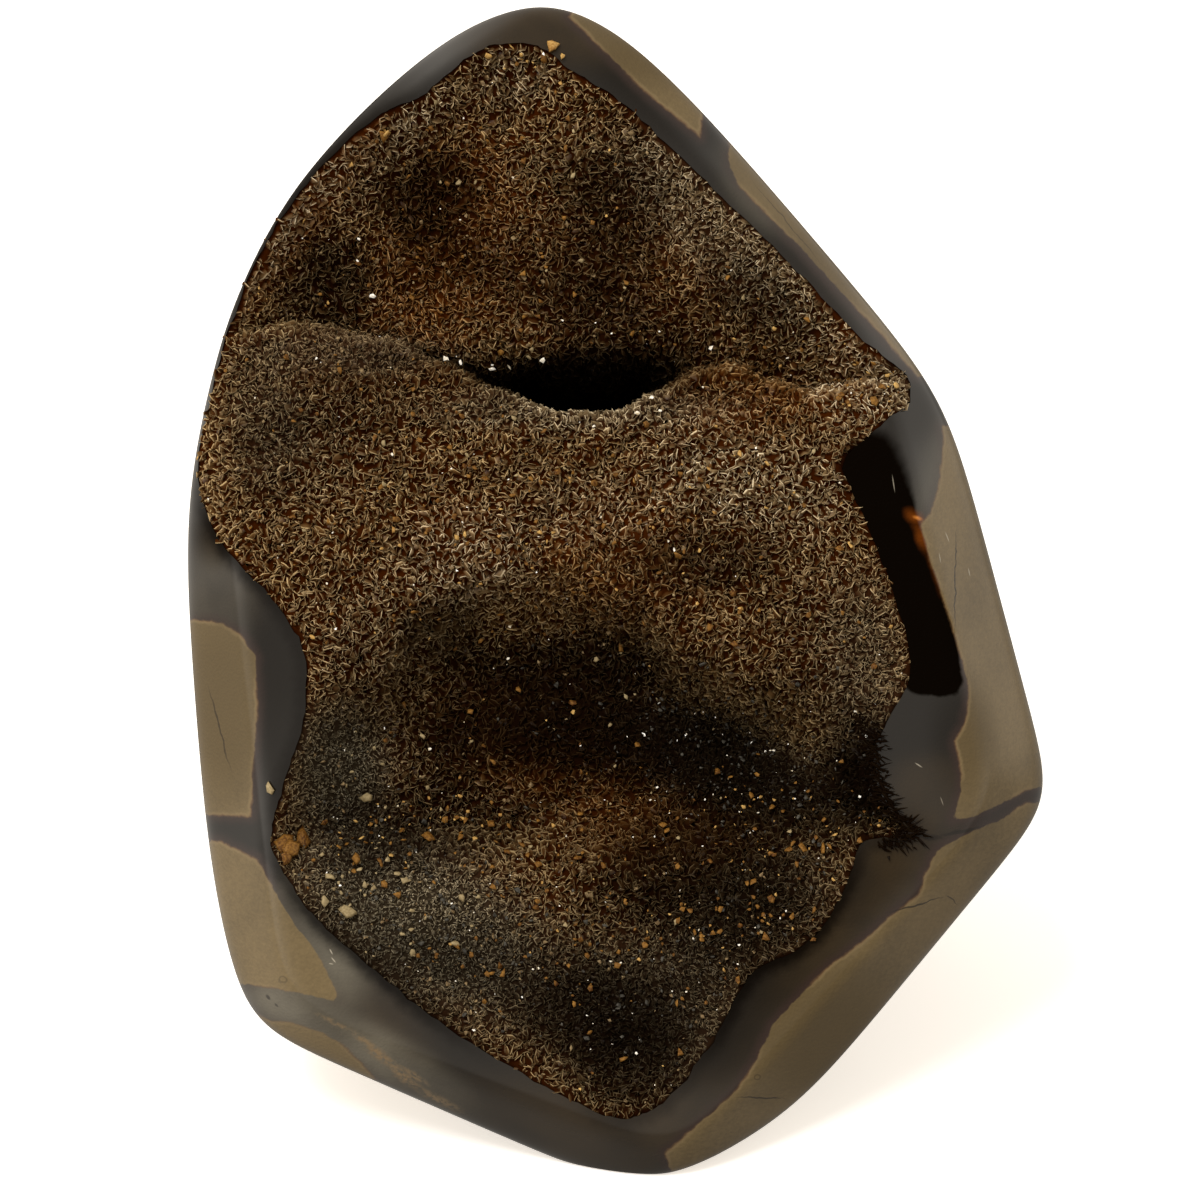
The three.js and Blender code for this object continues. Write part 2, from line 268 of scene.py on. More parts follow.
def distance_inside(points, outline, chunk=8000):
    """Distance of points inside a closed outline, negative outside, and the nearest points."""
    start = np.asarray(outline, float)
    along = np.roll(start, -1, 0) - start
    inside_by, feet = [], []
    for first in range(0, len(points), chunk):
        p = points[first:first + chunk, None, :]
        share = np.clip(((p - start) * along).sum(-1) / (along * along).sum(-1), 0, 1)
        foot = start + share[..., None] * along
        away = np.linalg.norm(p - foot, axis=-1)
        nearest = away.argmin(1)
        row = np.arange(len(nearest))
        end = start + along
        crossing = (start[:, 1] > p[..., 1]) != (end[:, 1] > p[..., 1])
        rise = np.where(along[:, 1] == 0, 1, along[:, 1])
        left = p[..., 0] < start[:, 0] + along[:, 0] * (p[..., 1] - start[:, 1]) / rise
        inside = (crossing & left).sum(1) % 2 == 1
        inside_by.append(np.where(inside, away[row, nearest], -away[row, nearest]))
        feet.append(foot[row, nearest])
    return np.concatenate(inside_by), np.concatenate(feet)


def unit(vectors):
    """Vectors of the same directions with a length of 1."""
    return vectors / np.linalg.norm(vectors, axis=-1, keepdims=True)


def smooth(x, low, high):
    """0 below low, 1 above high, and an even curve between."""
    t = np.clip((x - low) / (high - low), 0, 1)
    return t * t * (3 - 2 * t)


def lerp(a, b, t):
    return a + (b - a) * t


def level_of(line, u):
    """v of a line across the hollow, at u."""
    line = np.array(line, float)
    at = np.clip(u, line[0, 0], line[-1, 0])
    after = np.clip(np.searchsorted(line[:, 0], at), 1, len(line) - 1)
    t = smooth(at, line[after - 1, 0], line[after, 0])
    return lerp(line[after - 1, 1], line[after, 1], t)


def patch(u, v, at_u, at_v, long, wide, turn):
    """Soft oval patch: 1 in its middle, falling to nothing outside."""
    turn = math.radians(turn)
    du, dv = u - at_u, v - at_v
    along = (du * math.cos(turn) + dv * math.sin(turn)) / long
    across = (dv * math.cos(turn) - du * math.sin(turn)) / wide
    return np.exp(-along**2 - across**2)


def tint_at(zones, u, v):
    """Strength of a tint, 0 to 1: even inside its zones, and soft at their borders."""
    left = np.ones_like(u)
    for *place, strength in zones:
        left = left * (1 - strength * np.exp(-np.log(patch(u, v, *place) + 1e-12) ** 2))
    return 1 - left


def tints_at(tints, u, v):
    return {name: tint_at(zones, u, v) for name, zones in tints.items()}


def ripple_at(u, v):
    """Low waves that keep the beds from looking smooth."""
    bend = 2.2 * np.sin(v / 11 + 0.6) + 1.7 * np.sin(u / 13)
    waves = 0.8 * np.sin(u / 4.6 + bend) * np.sin(v / 5.2 - bend)
    return waves + 0.5 * np.sin((u + v) / 3.1 + bend)


def bed_depth(u, v):
    """Depth of the hollow where its floor lies well inside the mouth."""
    above = v - level_of(RIDGE, u)
    upper = smooth(above, -RIDGE_WIDTH, RIDGE_WIDTH)
    boulder = smooth(v - level_of(UNDERCUT, u), -UNDERCUT_WIDTH, UNDERCUT_WIDTH)
    to_right = smooth(u, LEDGE_WIDTH["from"], LEDGE_WIDTH["to"])
    ledge = lerp(LEDGE_WIDTH["left"], LEDGE_WIDTH["right"], to_right)
    lower = smooth(LEDGE_LEVEL - v, -ledge, ledge)
    slope = UPPER_BED_SLOPE[0] * np.exp(-np.maximum(0, above) / UPPER_BED_SLOPE[1])
    along = ((u - HOLE["u"]) / HOLE["half_length"]) ** 4
    hole = HOLE["drop"] * np.exp(-along - (np.maximum(0, above) / HOLE["reach"]) ** 2)
    below_ridge = lerp(lerp(RECESS, BOULDER, boulder), LOWER_BED, lower)
    return lerp(below_ridge, UPPER_BED + slope + hole, upper)


def crust_level(u, v, outline):
    """w of the crust's surface under its crystals, and the distance inside the mouth."""
    points = np.stack([u, v], -1)
    inside, feet = distance_inside(points, outline)
    at = np.where(inside[:, None] > 0, points, feet)
    bank = 1 - np.exp(-np.maximum(0, inside) / BANK)
    swell = sum(rise * patch(u, v, *place) for *place, rise in SWELLS)
    bed = bed_depth(u, v) - swell - ripple_at(u, v)
    return front_level(at[:, 0], at[:, 1]) - LIP - bank * np.maximum(0, bed), inside


class Relief:
    """The crust's surface on a fine grid, read between its points."""

    STEP = 0.6
    MARGIN = 6

    def __init__(self, outline):
        low, high = outline.min(0) - self.MARGIN, outline.max(0) + self.MARGIN
        self.low = low
        self.columns = int((high[0] - low[0]) / self.STEP) + 2
        self.rows = int((high[1] - low[1]) / self.STEP) + 2
        i, j = np.meshgrid(np.arange(self.columns), np.arange(self.rows))
        u, v = low[0] + i.ravel() * self.STEP, low[1] + j.ravel() * self.STEP
        level, inside = crust_level(u, v, outline)
        rough = rough_at(u, v, BED_GRAIN, layer=3.7, fade=0.9, finer=2.1)
        level = level + ROUGH_BED * rough * smooth(inside, 0.5, 3)
        self.level = level.reshape(self.rows, self.columns)
        self.inside = inside.reshape(self.rows, self.columns)

    def read(self, table, u, v):
        x = np.clip((u - self.low[0]) / self.STEP, 0, self.columns - 1.001)
        y = np.clip((v - self.low[1]) / self.STEP, 0, self.rows - 1.001)
        i, j = x.astype(int), y.astype(int)
        s, t = x - i, y - j
        low = table[j, i] * (1 - s) + table[j, i + 1] * s
        high = table[j + 1, i] * (1 - s) + table[j + 1, i + 1] * s
        return low * (1 - t) + high * t

    def level_at(self, u, v):
        return self.read(self.level, u, v)

    def inside_at(self, u, v):
        return self.read(self.inside, u, v)

    def normal_at(self, u, v, reach=0.7):
        rise_u = (self.level_at(u + reach, v) - self.level_at(u - reach, v)) / (2 * reach)
        rise_v = (self.level_at(u, v + reach) - self.level_at(u, v - reach)) / (2 * reach)
        return unit(np.stack([-rise_u, -rise_v, np.ones_like(u)], -1))


@functools.cache
def hollow_shape():
    """Outline of the mouth and the crust's surface, worked out once."""
    outline = mouth_outline()
    return outline, Relief(outline)


# ------------------------------------------------------------------ meshes from arrays
def lean_back(points):
    """Points or directions of the face frame in the axes of the standing stone."""
    u, v, w = np.asarray(points, float).T
    y = v * math.sin(LEAN) - w * math.cos(LEAN)
    z = v * math.cos(LEAN) + w * math.sin(LEAN)
    return np.stack([u, y, z], -1)


def stand_up(points):
    """Face-frame millimetres to the standing stone's frame, in metres."""
    return (lean_back(points) + OFFSET) * MM


def lie_down(points):
    """The standing stone's frame, in metres, to face-frame millimetres."""
    x, y, z = (np.asarray(points, float) / MM - OFFSET).T
    v = y * math.sin(LEAN) + z * math.cos(LEAN)
    w = z * math.sin(LEAN) - y * math.cos(LEAN)
    return np.stack([x, v, w], -1)


def find_offset(turns=721, tilts=361):
    """Where the face frame's origin is in the standing stone's frame, in millimetres."""
    turn = np.linspace(-math.pi, math.pi, turns)
    tilt = np.linspace(-math.pi / 2, math.pi / 2, tilts)
    way = direction(*np.meshgrid(turn, tilt)).reshape(-1, 3)
    upright = lean_back(way / spread(way)[:, None] + HEART)
    standing = upright[upright[:, 2] > BASE_LEVEL]
    low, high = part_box("stone")
    middle = (np.array(low) + np.array(high)) / 2 / MM
    offset = middle - (standing.min(0) + standing.max(0)) / 2
    offset[2] = low.z / MM - BASE_LEVEL
    return offset


OFFSET = find_offset()


def mesh_of(name, points, *face_sets):
    """Mesh object from points in metres and arrays of faces, one array for each face size."""
    mesh = bpy.data.meshes.new(name)
    mesh.vertices.add(len(points))
    mesh.vertices.foreach_set("co", np.asarray(points, np.float32).ravel())
    corners = np.concatenate([np.asarray(faces).ravel() for faces in face_sets]).astype(np.int32)
    sizes = np.concatenate([np.full(len(faces), faces.shape[1]) for faces in face_sets])
    mesh.loops.add(len(corners))
    mesh.loops.foreach_set("vertex_index", corners)
    mesh.polygons.add(len(sizes))
    mesh.polygons.foreach_set("loop_start", (np.cumsum(sizes) - sizes).astype(np.int32))
    mesh.update(calc_edges=True)
    made = bpy.data.objects.new(name, mesh)
    bpy.context.scene.collection.objects.link(made)
    return made


def store(made, **values):
    """Stores one number for each vertex under each name, for the material to read."""
    for name, numbers in values.items():
        kind = "FLOAT_VECTOR" if np.ndim(numbers) == 2 else "FLOAT"
        attribute = made.data.attributes.new(name, kind, "POINT")
        field = "vector" if kind == "FLOAT_VECTOR" else "value"
        attribute.data.foreach_set(field, np.asarray(numbers, np.float32).ravel())


def values_of(items, field, kind=np.float32):
    """A field of all vertices, corners or faces of a mesh, as one row of numbers."""
    found = np.empty(np.size(getattr(items[0], field)) * len(items), kind)
    items.foreach_get(field, found)
    return found


def points_of(made):
    """Vertices of a mesh object, as an array."""
    return values_of(made.data.vertices, "co").reshape(-1, 3).astype(float)


def as_part(made, node, material):
    """Makes a piece stand for a node of the frame."""
    made.data.materials.clear()
    made.data.materials.append(material)
    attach(made, "root")
    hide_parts(node)
    return made


def lattice_over(low, high, step):
    """Points of a three-way lattice over a rectangle."""
    row_step = step * math.sin(math.pi / 3)
    columns, rows = int((high[0] - low[0]) / step) + 1, int((high[1] - low[1]) / row_step) + 1
    i, j = [a.ravel() for a in np.meshgrid(np.arange(columns), np.arange(rows))]
    return np.stack([low[0] + (i + 0.5 * (j % 2)) * step, low[1] + j * row_step], -1)


def sides_of(triangles):
    """The sides of triangles as pairs of points: all first sides, then all second, then third."""
    return np.concatenate([triangles[:, [0, 1]], triangles[:, [1, 2]], triangles[:, [2, 0]]])


def slab_over_mouth(name, outline, step, top, bottom):
    """Closed slab inside an outline, between the levels top(u, v) and bottom(u, v)."""
    lattice = lattice_over(outline.min(0), outline.max(0), step)
    inside, _ = distance_inside(lattice, outline)
    off_rim = 0.45 * step
    flat = np.concatenate([outline, lattice[inside > off_rim]])
    count = len(outline)
    rim = [(k, (k + 1) % count) for k in range(count)]
    made, _, faces, *_ = geometry.delaunay_2d_cdt([Vector(p) for p in flat], rim, [], 1, 1e-6)
    flat = np.array(made)[:, :2]
    faces = np.array([f for f in faces if len(f) == 3])
    a, b, c = (flat[faces[:, k]] for k in range(3))
    turned = (b[:, 0] - a[:, 0]) * (c[:, 1] - a[:, 1]) < (b[:, 1] - a[:, 1]) * (c[:, 0] - a[:, 0])
    faces[turned] = faces[turned][:, ::-1]
    known = {(p, q) for p, q in sides_of(faces).tolist()}
    border = np.array([(p, q) for p, q in known if (q, p) not in known])
    size = len(flat)
    levels = top(*flat.T), bottom(*flat.T)
    points = np.concatenate([np.column_stack([flat, level]) for level in levels])
    walls = np.column_stack([border[:, 1], border[:, 0], border[:, 0] + size, border[:, 1] + size])
    return mesh_of(name, stand_up(points), np.concatenate([faces, faces[:, ::-1] + size]), walls)


# ------------------------------------------------------------------ stone
# The polished ring round the mouth is meshed finely, this wide and down to this depth.
RIM_WIDTH = 4.0
RIM_DEPTH = 18.0
RIM_EDGE = 1.2
SKIN_EDGE = 4.0
# Steps of the meshes that cut the hollow and that line it, and how far below the crust's
# surface each reaches.
CUT_STEP = 1.6
CUT_BELOW_CRUST = 3.0
BED_STEP = 1.3
BED_THICKNESS = 2.5
OPEN_SIDE = 20.0
WAVES = 0.05  # how closely the polish waves, and how much its normals tip
WAVINESS = 0.02
FAR = -5.0  # stands for a place well outside an outline
NEAR_SKIN = 2e-3  # a point this near the facets, as a share of its distance, is on the skin
ABOVE_BASE = 0.01
NEAR_RIM = 1.0
AGREEMENT = 0.75  # of the formula's normal with a face's own, where the skin is smooth
# The front's black calcite is a painted dark reflection over dark calcite.
NOT_FRONT = -40.0  # the front's black calcite ends at this level
FRONT_ENDS = (12, 28)  # the front's layout gives way to the blocks between these depths
BLOCK_WANDER = 3.0
VEIN = (2.6, 1.2)  # half width of the veins behind the front, and how much it varies

# Zones of the polished front, laid out as TINTS is: browner calcite, stone that shines less,
# milky calcite with paler limestone beside it, whose paleness toward the right edge is a
# painted reflection, painted shade where the rim of the mouth turns into the hollow, and
# calcite that shines least.
FRONT_TINTS = {
    "brown": (
        (0, -100, 70, 12, 0, 0.8), (-48, -82, 18, 13, -35, 1.0), (46, -66, 10, 32, -35, 0.8),
        (-8, 106, 20, 8, 0, 0.9), (57, -45, 12, 6, 0, 0.5), (61, -36, 9, 7, 0, 0.7),
        (-70, 4, 8, 12, 0, 0.4), (48, 62, 14, 8, -48, 0.5),
    ),
    "dim": (
        (-70, -20, 9, 18, 0, 0.9), (67, -26, 6, 11, 0, 1.0), (38, -78, 30, 15, -40, 0.85),
        (2, 104, 24, 12, 0, 0.8), (34, 74, 12, 22, 45, 0.7), (56, -46, 7, 7, 0, 1.0),
        (-58, -8, 6, 14, 0, 0.5), (58, 36, 6, 8, 0, 0.5), (-70, -5, 8, 8, 0, 0.8),
    ),
    # Toward the right edge these zones pale the limestone as a painted reflection; elsewhere the
    # milky calcite is its own colour.
    "milky": (
        (-52, -79, 18, 5.0, -28, 0.9), (-54, -68, 11, 9, -35, 1.0), (-72, 0, 8, 9, 0, 0.2),
        (-57, -56, 5, 8, -30, 0.6), (-38, -86, 16, 5, -32, 0.6), (66, 18, 7, 14, 0, 0.5),
        (31, 76, 10, 6, -45, 0.5), (68, 22, 5, 9, 0, 0.4),
    ),
    # Painted shade along the rim of the mouth, where the polish rolls into the hollow.
    "shaded": (
        (-46, -66, 28, 9, -42, 1.0), (-60, -20, 8, 26, 0, 0.5), (-48, 80, 34, 10, 58, 0.6),
        (8, -95, 14, 8, 0, 0.5), (-66, 10, 14, 9, -50, 1.0), (34, -65, 28, 9, 47, 1.0),
    ),
    "deep": (
        (38, -63, 26, 8, 47, 1.0), (22, -84, 9, 6, 30, 0.6), (0, 106, 30, 9, 0, 0.35),
        (10, 94, 14, 7, -42, 0.6), (-52, 76, 36, 7, 57, 0.9), (-71, 12, 4, 6, 0, 0.9),
        (50, -51, 9, 6, 47, 0.8),
    ),
}

# Middles of the blocks that the veins part, behind the polished front: u, v, w, and whether
# the block is limestone (1) or part of a wide vein (0).
BLOCKS = (
    (-80, -20, -40, 1), (-72, -60, -40, 1), (-48, -92, -40, 1), (-12, -106, -18, 0),
    (62, -75, -40, 1), (88, 2, -40, 1), (50, 70, -40, 1), (5, 112, -40, 1), (-72, 62, -48, 1),
    (-78, 14, -16, 0), (-10, -92, -82, 1), (-38, 48, -98, 1), (34, 36, -98, 1),
    (2, -18, -108, 1), (-52, -36, -92, 1), (50, -46, -88, 1), (-2, 92, -84, 1),
)


def skin_normals(from_heart):
    """Outward directions of the stone's surface."""
    total = 0
    for normals in RINGS:
        reached = np.clip(from_heart @ normals.T, 0, None)
        ring = (reached ** CORNER_EASE).sum(-1, keepdims=True) + 1e-30
        weight = ring ** (EDGE_EASE / CORNER_EASE - 1)
        total = total + weight * (reached ** (CORNER_EASE - 1) @ normals)
    return unit(total)


def make_skin(name, outline):
    """The stone before it is hollowed: a ball whose points are pushed out to the facets."""
    ball = bmesh.new()
    bmesh.ops.create_icosphere(ball, subdivisions=7, radius=1.0)
    for is_last in (False, False, True):
        ball.verts.index_update()
        ways = np.array([vertex.co for vertex in ball.verts])
        places = ways / spread(ways)[:, None] + HEART
        if is_last:
            break
        inside, _ = distance_inside(places[:, :2], outline)
        limit = np.where((places[:, 2] > -RIM_DEPTH) & (inside < RIM_WIDTH), RIM_EDGE, SKIN_EDGE)
        ends = np.array([[vertex.index for vertex in edge.verts] for edge in ball.edges])
        lengths = np.linalg.norm(places[ends[:, 0]] - places[ends[:, 1]], axis=1)
        is_long = lengths > limit[ends].max(1)
        long_edges = [edge for edge, split in zip(ball.edges, is_long) if split]
        bmesh.ops.subdivide_edges(ball, edges=long_edges, cuts=1)
        wide = [face for face in ball.faces if len(face.verts) > 3]
        bmesh.ops.triangulate(ball, faces=wide)
    faces = np.array([[vertex.index for vertex in face.verts] for face in ball.faces])
    ball.free()
    return mesh_of(name, stand_up(places), faces)


def make_ground_block():
    """Block whose top is the level of the sawn base."""
    size = 0.6
    block = bmesh.new()
    bmesh.ops.create_cube(block, size=size)
    mesh = bpy.data.meshes.new("ground_block")
    block.to_mesh(mesh)
    block.free()
    made = bpy.data.objects.new("ground_block", mesh)
    bpy.context.scene.collection.objects.link(made)
    made.location.z = -size / 2
    return made


def cut_away(made, *tools):
    """Takes closed tool meshes away from a closed mesh and deletes the tools."""
    for tool in tools:
        cut = made.modifiers.new(tool.name, "BOOLEAN")
        cut.operation = "DIFFERENCE"
        cut.solver = "MANIFOLD"
        cut.object = tool
    bpy.context.view_layer.update()
    done = made.evaluated_get(bpy.context.evaluated_depsgraph_get())
    mesh = bpy.data.meshes.new_from_object(done)
    made.modifiers.clear()
    made.data = mesh
    for tool in tools:
        bpy.data.objects.remove(tool)


def block_depth(points, half_width):
    """How deep points lie inside the limestone blocks, negative in the veins between them."""
    seeds = np.array(BLOCKS, float)
    squared = ((points[:, None, :] - seeds[:, :3]) ** 2).sum(-1)
    order = squared.argmin(1)
    row = np.arange(len(points))
    nearest = squared[row, order]
    apart = np.linalg.norm(seeds[order, None, :3] - seeds[:, :3], axis=-1)
    to_wall = (squared - nearest[:, None]) / (2 * np.where(apart == 0, 1, apart))
    depth = np.where(seeds[:, 3] == 1, to_wall - half_width[:, None], to_wall)
    for distances in (to_wall, depth):
        distances[row, order] = np.inf
    return np.where(seeds[order, 3] == 1, depth.min(1), -to_wall.min(1))


def on_front(points):
    """Where points appear on the front plane, seen square on from VIEW_DISTANCE."""
    return points[:, :2] * (VIEW_DISTANCE / (VIEW_DISTANCE - points[:, 2]))[:, None]


def limestone_depth(points):
    """Distance inside the limestone, in millimetres, negative in the dark calcite."""
    flat = on_front(points)
    front = np.full(len(points), -np.inf)
    for patch_outline in LIMESTONE.values():
        depth, _ = distance_inside(flat, np.array(patch_outline))
        front = np.maximum(front, depth)
    wander = np.array([noise.fractal(Vector(p) * 0.05, 1.0, 2.0, 3) for p in points])
    half_width = VEIN[0] + VEIN[1] * np.roll(wander, 1)
    back = block_depth(points + BLOCK_WANDER * wander[:, None], half_width)
    return lerp(front, back, smooth(-points[:, 2], *FRONT_ENDS))


def build_stone(settings):
    """The hollowed and polished stone, with its attributes for the material."""
    outline, relief = hollow_shape()
    stone = make_skin("stone_polished", outline)
    hollow = slab_over_mouth(
        "hollow", outline, CUT_STEP,
        lambda u, v: np.full_like(u, OPEN_SIDE),
        lambda u, v: relief.level_at(u, v) - CUT_BELOW_CRUST,
    )
    cut_away(stone, hollow, make_ground_block())
    points = points_of(stone)
    placed = lie_down(points)
    inside, _ = distance_inside(placed[:, :2], outline)
    is_near_skin = np.abs(spread(placed - HEART) - 1) < NEAR_SKIN
    on_skin = is_near_skin & (points[:, 2] > ABOVE_BASE * MM)
    flat = on_front(placed)
    # black: how far inside the painted dark reflection each point lies, seen square on.
    black_by, _ = distance_inside(flat, np.array(DARK_REFLECTION_OUTLINE))
    store(
        stone,
        limestone=np.where(on_skin | (inside < NEAR_RIM), limestone_depth(placed), FAR),
        black=np.where(placed[:, 2] > NOT_FRONT, black_by, FAR),
        face=placed,
        rim=-inside,
        **tints_at(FRONT_TINTS, *flat.T),
    )
    give_polished_normals(stone, placed, on_skin)
    return as_part(stone, "stone", stone_material(settings))


def give_polished_normals(stone, placed, on_skin):
    """Normals straight from the stone's formula, so that its reflections run smoothly."""
    mesh = stone.data
    mesh.shade_smooth()
    waves = np.array([noise.noise_vector(Vector(point) * WAVES) for point in placed])
    normals = unit(skin_normals(placed - HEART) + WAVINESS * waves)
    upright = lean_back(normals)
    corner_vertex = values_of(mesh.loops, "vertex_index", np.int32)
    sizes = values_of(mesh.polygons, "loop_total", np.int32)
    starts = np.cumsum(sizes) - sizes
    of_corner = np.repeat(values_of(mesh.polygons, "normal").reshape(-1, 3), sizes, axis=0)
    agrees = (upright[corner_vertex] * of_corner).sum(1) > AGREEMENT
    smooth_corner = agrees & on_skin[corner_vertex]
    smooth_face = np.logical_and.reduceat(smooth_corner, starts)
    smooth_corner = np.repeat(smooth_face, sizes)
    chosen = np.where(smooth_corner[:, None], upright[corner_vertex], of_corner)
    mesh.normals_split_custom_set(chosen)


# ------------------------------------------------------------------ crystals
# Zones of the crust: u, v, long and wide half sizes, turn, and strength. The dark zones are
# painted shade where the crust lies in shade, most of all in the recess, the hole and under the
# overhangs; the crystals there are also darker of themselves. The dark hole's own zone counts
# twice, which makes its border crisper.
HOLE_SHADE_ZONE = ((-4, 42.2, 20, 5, 0, 1.0),) * 2
TINTS = {
    "warm": (
        (-51, 77, 27, 3.6, 57, 1.0), (50, 46, 8, 5, -40, 0.6),
        (-30, 66, 13, 22, -20, 0.9), (-38, 42, 22, 6, 0, 0.2), (25, 38, 12, 9, 10, 0.8),
        (-26, 11, 10, 8, 0, 0.6), (-6, -28, 26, 14, -15, 0.9), (12, -44, 18, 7, 0, 0.8),
        (4, 8, 16, 14, 0, 0.6), (44, 38, 14, 5, 0, 0.7), (-50, 46, 8, 5, 0, 0.6),
        (0, 62, 30, 14, 0, 0.4),
    ),
    "pale": (
        (-52, 78, 27, 2.6, 57, 1.0), (24, 68, 24, 8, -42, 0.7), (22, 24, 13, 8, -10, 0.9),
        (-25, 9, 13, 9, 10, 1.0), (50, 47, 8, 5, -40, 0.7),
        (-52, 28, 10, 10, 0, 0.3), (-42, -4, 14, 11, 0, 0.4), (44, -4, 9, 16, 0, 0.3),
        (49, 38, 10, 7, 0, 1.0), (36, 20, 13, 9, 0, 0.8), (-28, -58, 16, 7, -30, 0.5),
        (-16, 98, 8, 6, 0, 0.8), (-34, 90, 9, 4, 40, 0.8), (-44, 82, 12, 5, 50, 0.5),
        (0, 17, 14, 7, 0, 0.6), (14, 82, 8, 6, -45, 0.8), (56, 44, 9, 5, -30, 0.6),
        (38, 55, 16, 4, -45, 0.6), (-2, 34, 28, 3.5, 0, 0.7), (26, 21, 15, 7, 0, 0.8),
        (57, 36, 6, 6, 0, 1.0),
    ),
    "grey": (
        (22, 72, 22, 11, -40, 0.4), (-49, -32, 10, 14, 0, 1.0), (-34, -60, 30, 15, -28, 1.0),
        (10, -76, 22, 16, 0, 0.7), (50, -18, 8, 22, 0, 0.5), (56, 40, 6, 5, 0, 0.5),
        (-62, 34, 8, 14, 0, 0.4), (30, -58, 18, 10, 20, 0.5), (24, -30, 24, 9, -20, 0.6),
        (-4, 36, 30, 4, 0, 0.5), (-46, 46, 18, 5, 0, 0.6),
    ),
    # Painted shade: the crystals in these zones are painted near black.
    "dark": (
        (-4, -25, 38, 12, -5, 0.97), (-6, -13, 28, 7.5, 0, 0.85), (30, -35, 25, 10, -15, 0.95),
        (20, -51, 27, 16, 0, 0.9), (-30, -42, 26, 8, 0, 0.75), (2, -77, 22, 10, 0, 0.9),
        (6, -87, 14, 10, 0, 0.85), (-30, -30, 9, 8, 0, 0.6), (-36, -73, 30, 3, -38, 0.6),
        (18, 7, 17, 6.5, 0, 0.66), (-30, -5, 9, 7, 0, 0.6), (3, -4, 12, 6, 0, 0.5),
        (40, -6, 14, 10, 0, 0.3), (50, -33, 9, 13, 0, 1.0), (-32, 76, 11, 9, 15, 0.8),
        (2, 68, 11, 20, -8, 0.68), (30, 56, 13, 6, -40, 0.6), (6, 46, 16, 7, 0, 0.6),
        (-52, 58, 9, 10, 0, 0.55), (-40, 42, 16, 6, 0, 0.4), (-50, 33, 14, 8, 0, 0.45),
        (-60, 26, 8, 10, 0, 0.3), (26, 42, 14, 7, 0, 0.35), (47, 26, 2.5, 4, -20, 0.9),
        *HOLE_SHADE_ZONE, (-26, 44, 9, 2.2, -22, 0.95),
        (32, -62, 10, 10, 0, 0.5), (-50, 62, 8, 9, 0, 0.4),
        (-30, 64, 11, 7, 0, 0.55), (-16, 64, 10, 8, 0, 0.45), (-18, -67, 24, 7, -5, 0.5),
        (-43, -12, 7, 9, 0, 0.4), (-42, -48, 10, 5, 0, 0.45), (36, -18, 14, 7, 0, 0.4),
        (4, -11, 12, 5, 0, 0.4), (16, 54, 12, 5, 0, 0.35), (-6, 80, 9, 6, 0, 0.4),
        (-6, 56, 12, 6, 0, 0.5), (4, 45, 12, 4, 0, 0.5), (22, -67, 10, 7, 0, 0.5),
    ),
}


ROOF = np.array([0.6, 1.0, 0.6])  # a crystal's width and height at its ends and middle
FOOT_DEPTH = 0.35  # how far a crystal's foot reaches into the bed
IN_MOUTH = 0.1  # crystals start this far inside the mouth
ASKEW = (0.31, 0.89, 0.33)  # a direction that is square to none of the crust
# Where the crust is grey its crystals are finer: how many more stand in one spot, up to the most
# there can be, and how much shorter and lower they are.
GREY_CROWD = 4
MOST_TOGETHER = 6
GREY_SHORTER = 0.6
GREY_LOWER = 0.4
# The same for the net: how much lower it is, and the share of its walls left out, which is
# higher there. CROOKED is about how far its crests lean, as a share of their height.
NET_LOWER = 0.45
NET_GAPS = 0.3
MORE_GAPS = 0.45
CROOKED = 0.36


def stretched(lengths, directions):
    """Vectors of three lengths a row along each row's direction."""
    return lengths[..., None] * directions[:, None]


def roof_piece(name, feet, halves, tops, tints):
    """Many small crystals as one mesh: each a ridge over three cross-sections of two feet."""
    count = len(feet)
    points = np.stack([feet - halves, feet + halves, tops], 2).reshape(count, 9, 3)
    first = np.arange(count)[:, None, None] * 9
    quads = np.array([(0, 2, 5, 3), (1, 4, 5, 2), (3, 5, 8, 6), (4, 7, 8, 5)])
    ends = np.array([(0, 1, 2), (6, 8, 7)])
    made = mesh_of(
        name, stand_up(points.reshape(-1, 3)),
        (quads + first).reshape(-1, 4), (ends + first).reshape(-1, 3),
    )
    # tip is 1 along each ridge, where the material paints its light line, partly a painted
    # highlight.
    ridge = np.tile([0.0, 0.0, 1.0], 3 * count)
    store(made, tip=ridge, **{key: np.repeat(value, 9) for key, value in tints.items()})
    return made


def loose_lattice(step, margin, jitter, chance):
    """Points of a lattice over the mouth, each moved by up to a share of the step."""
    outline = np.array(MOUTH)
    points = lattice_over(outline.min(0) - margin, outline.max(0) + margin, step)
    return points + chance.uniform(-jitter, jitter, points.shape) * step


def tangents(normals):
    """Two directions along the crust at right angles to its normals."""
    side = unit(np.cross(normals, ASKEW))
    return side, np.cross(normals, side)


def heading(turn, side, other):
    """Directions along the crust, at turns from one of its tangents toward the other."""
    return np.cos(turn)[:, None] * side + np.sin(turn)[:, None] * other


def standing_spots(relief, step, chance):
    """Where crystals stand by themselves: closest on steep and grey parts of the crust."""
    u, v = loose_lattice(step, margin=0, jitter=0, chance=chance).T
    steepness = 1 / np.clip(relief.normal_at(u, v)[:, 2], 0.2, 1)
    crowd = steepness + GREY_CROWD * tint_at(TINTS["grey"], u, v)
    copies = np.minimum(MOST_TOGETHER, crowd + chance.random(len(u))).astype(int)
    u, v = np.repeat(u, copies), np.repeat(v, copies)
    u = u + chance.uniform(-0.5, 0.5, len(u)) * step
    v = v + chance.uniform(-0.5, 0.5, len(v)) * step
    inside = relief.inside_at(u, v)
    return [column[inside > IN_MOUTH] for column in (u, v, inside)]


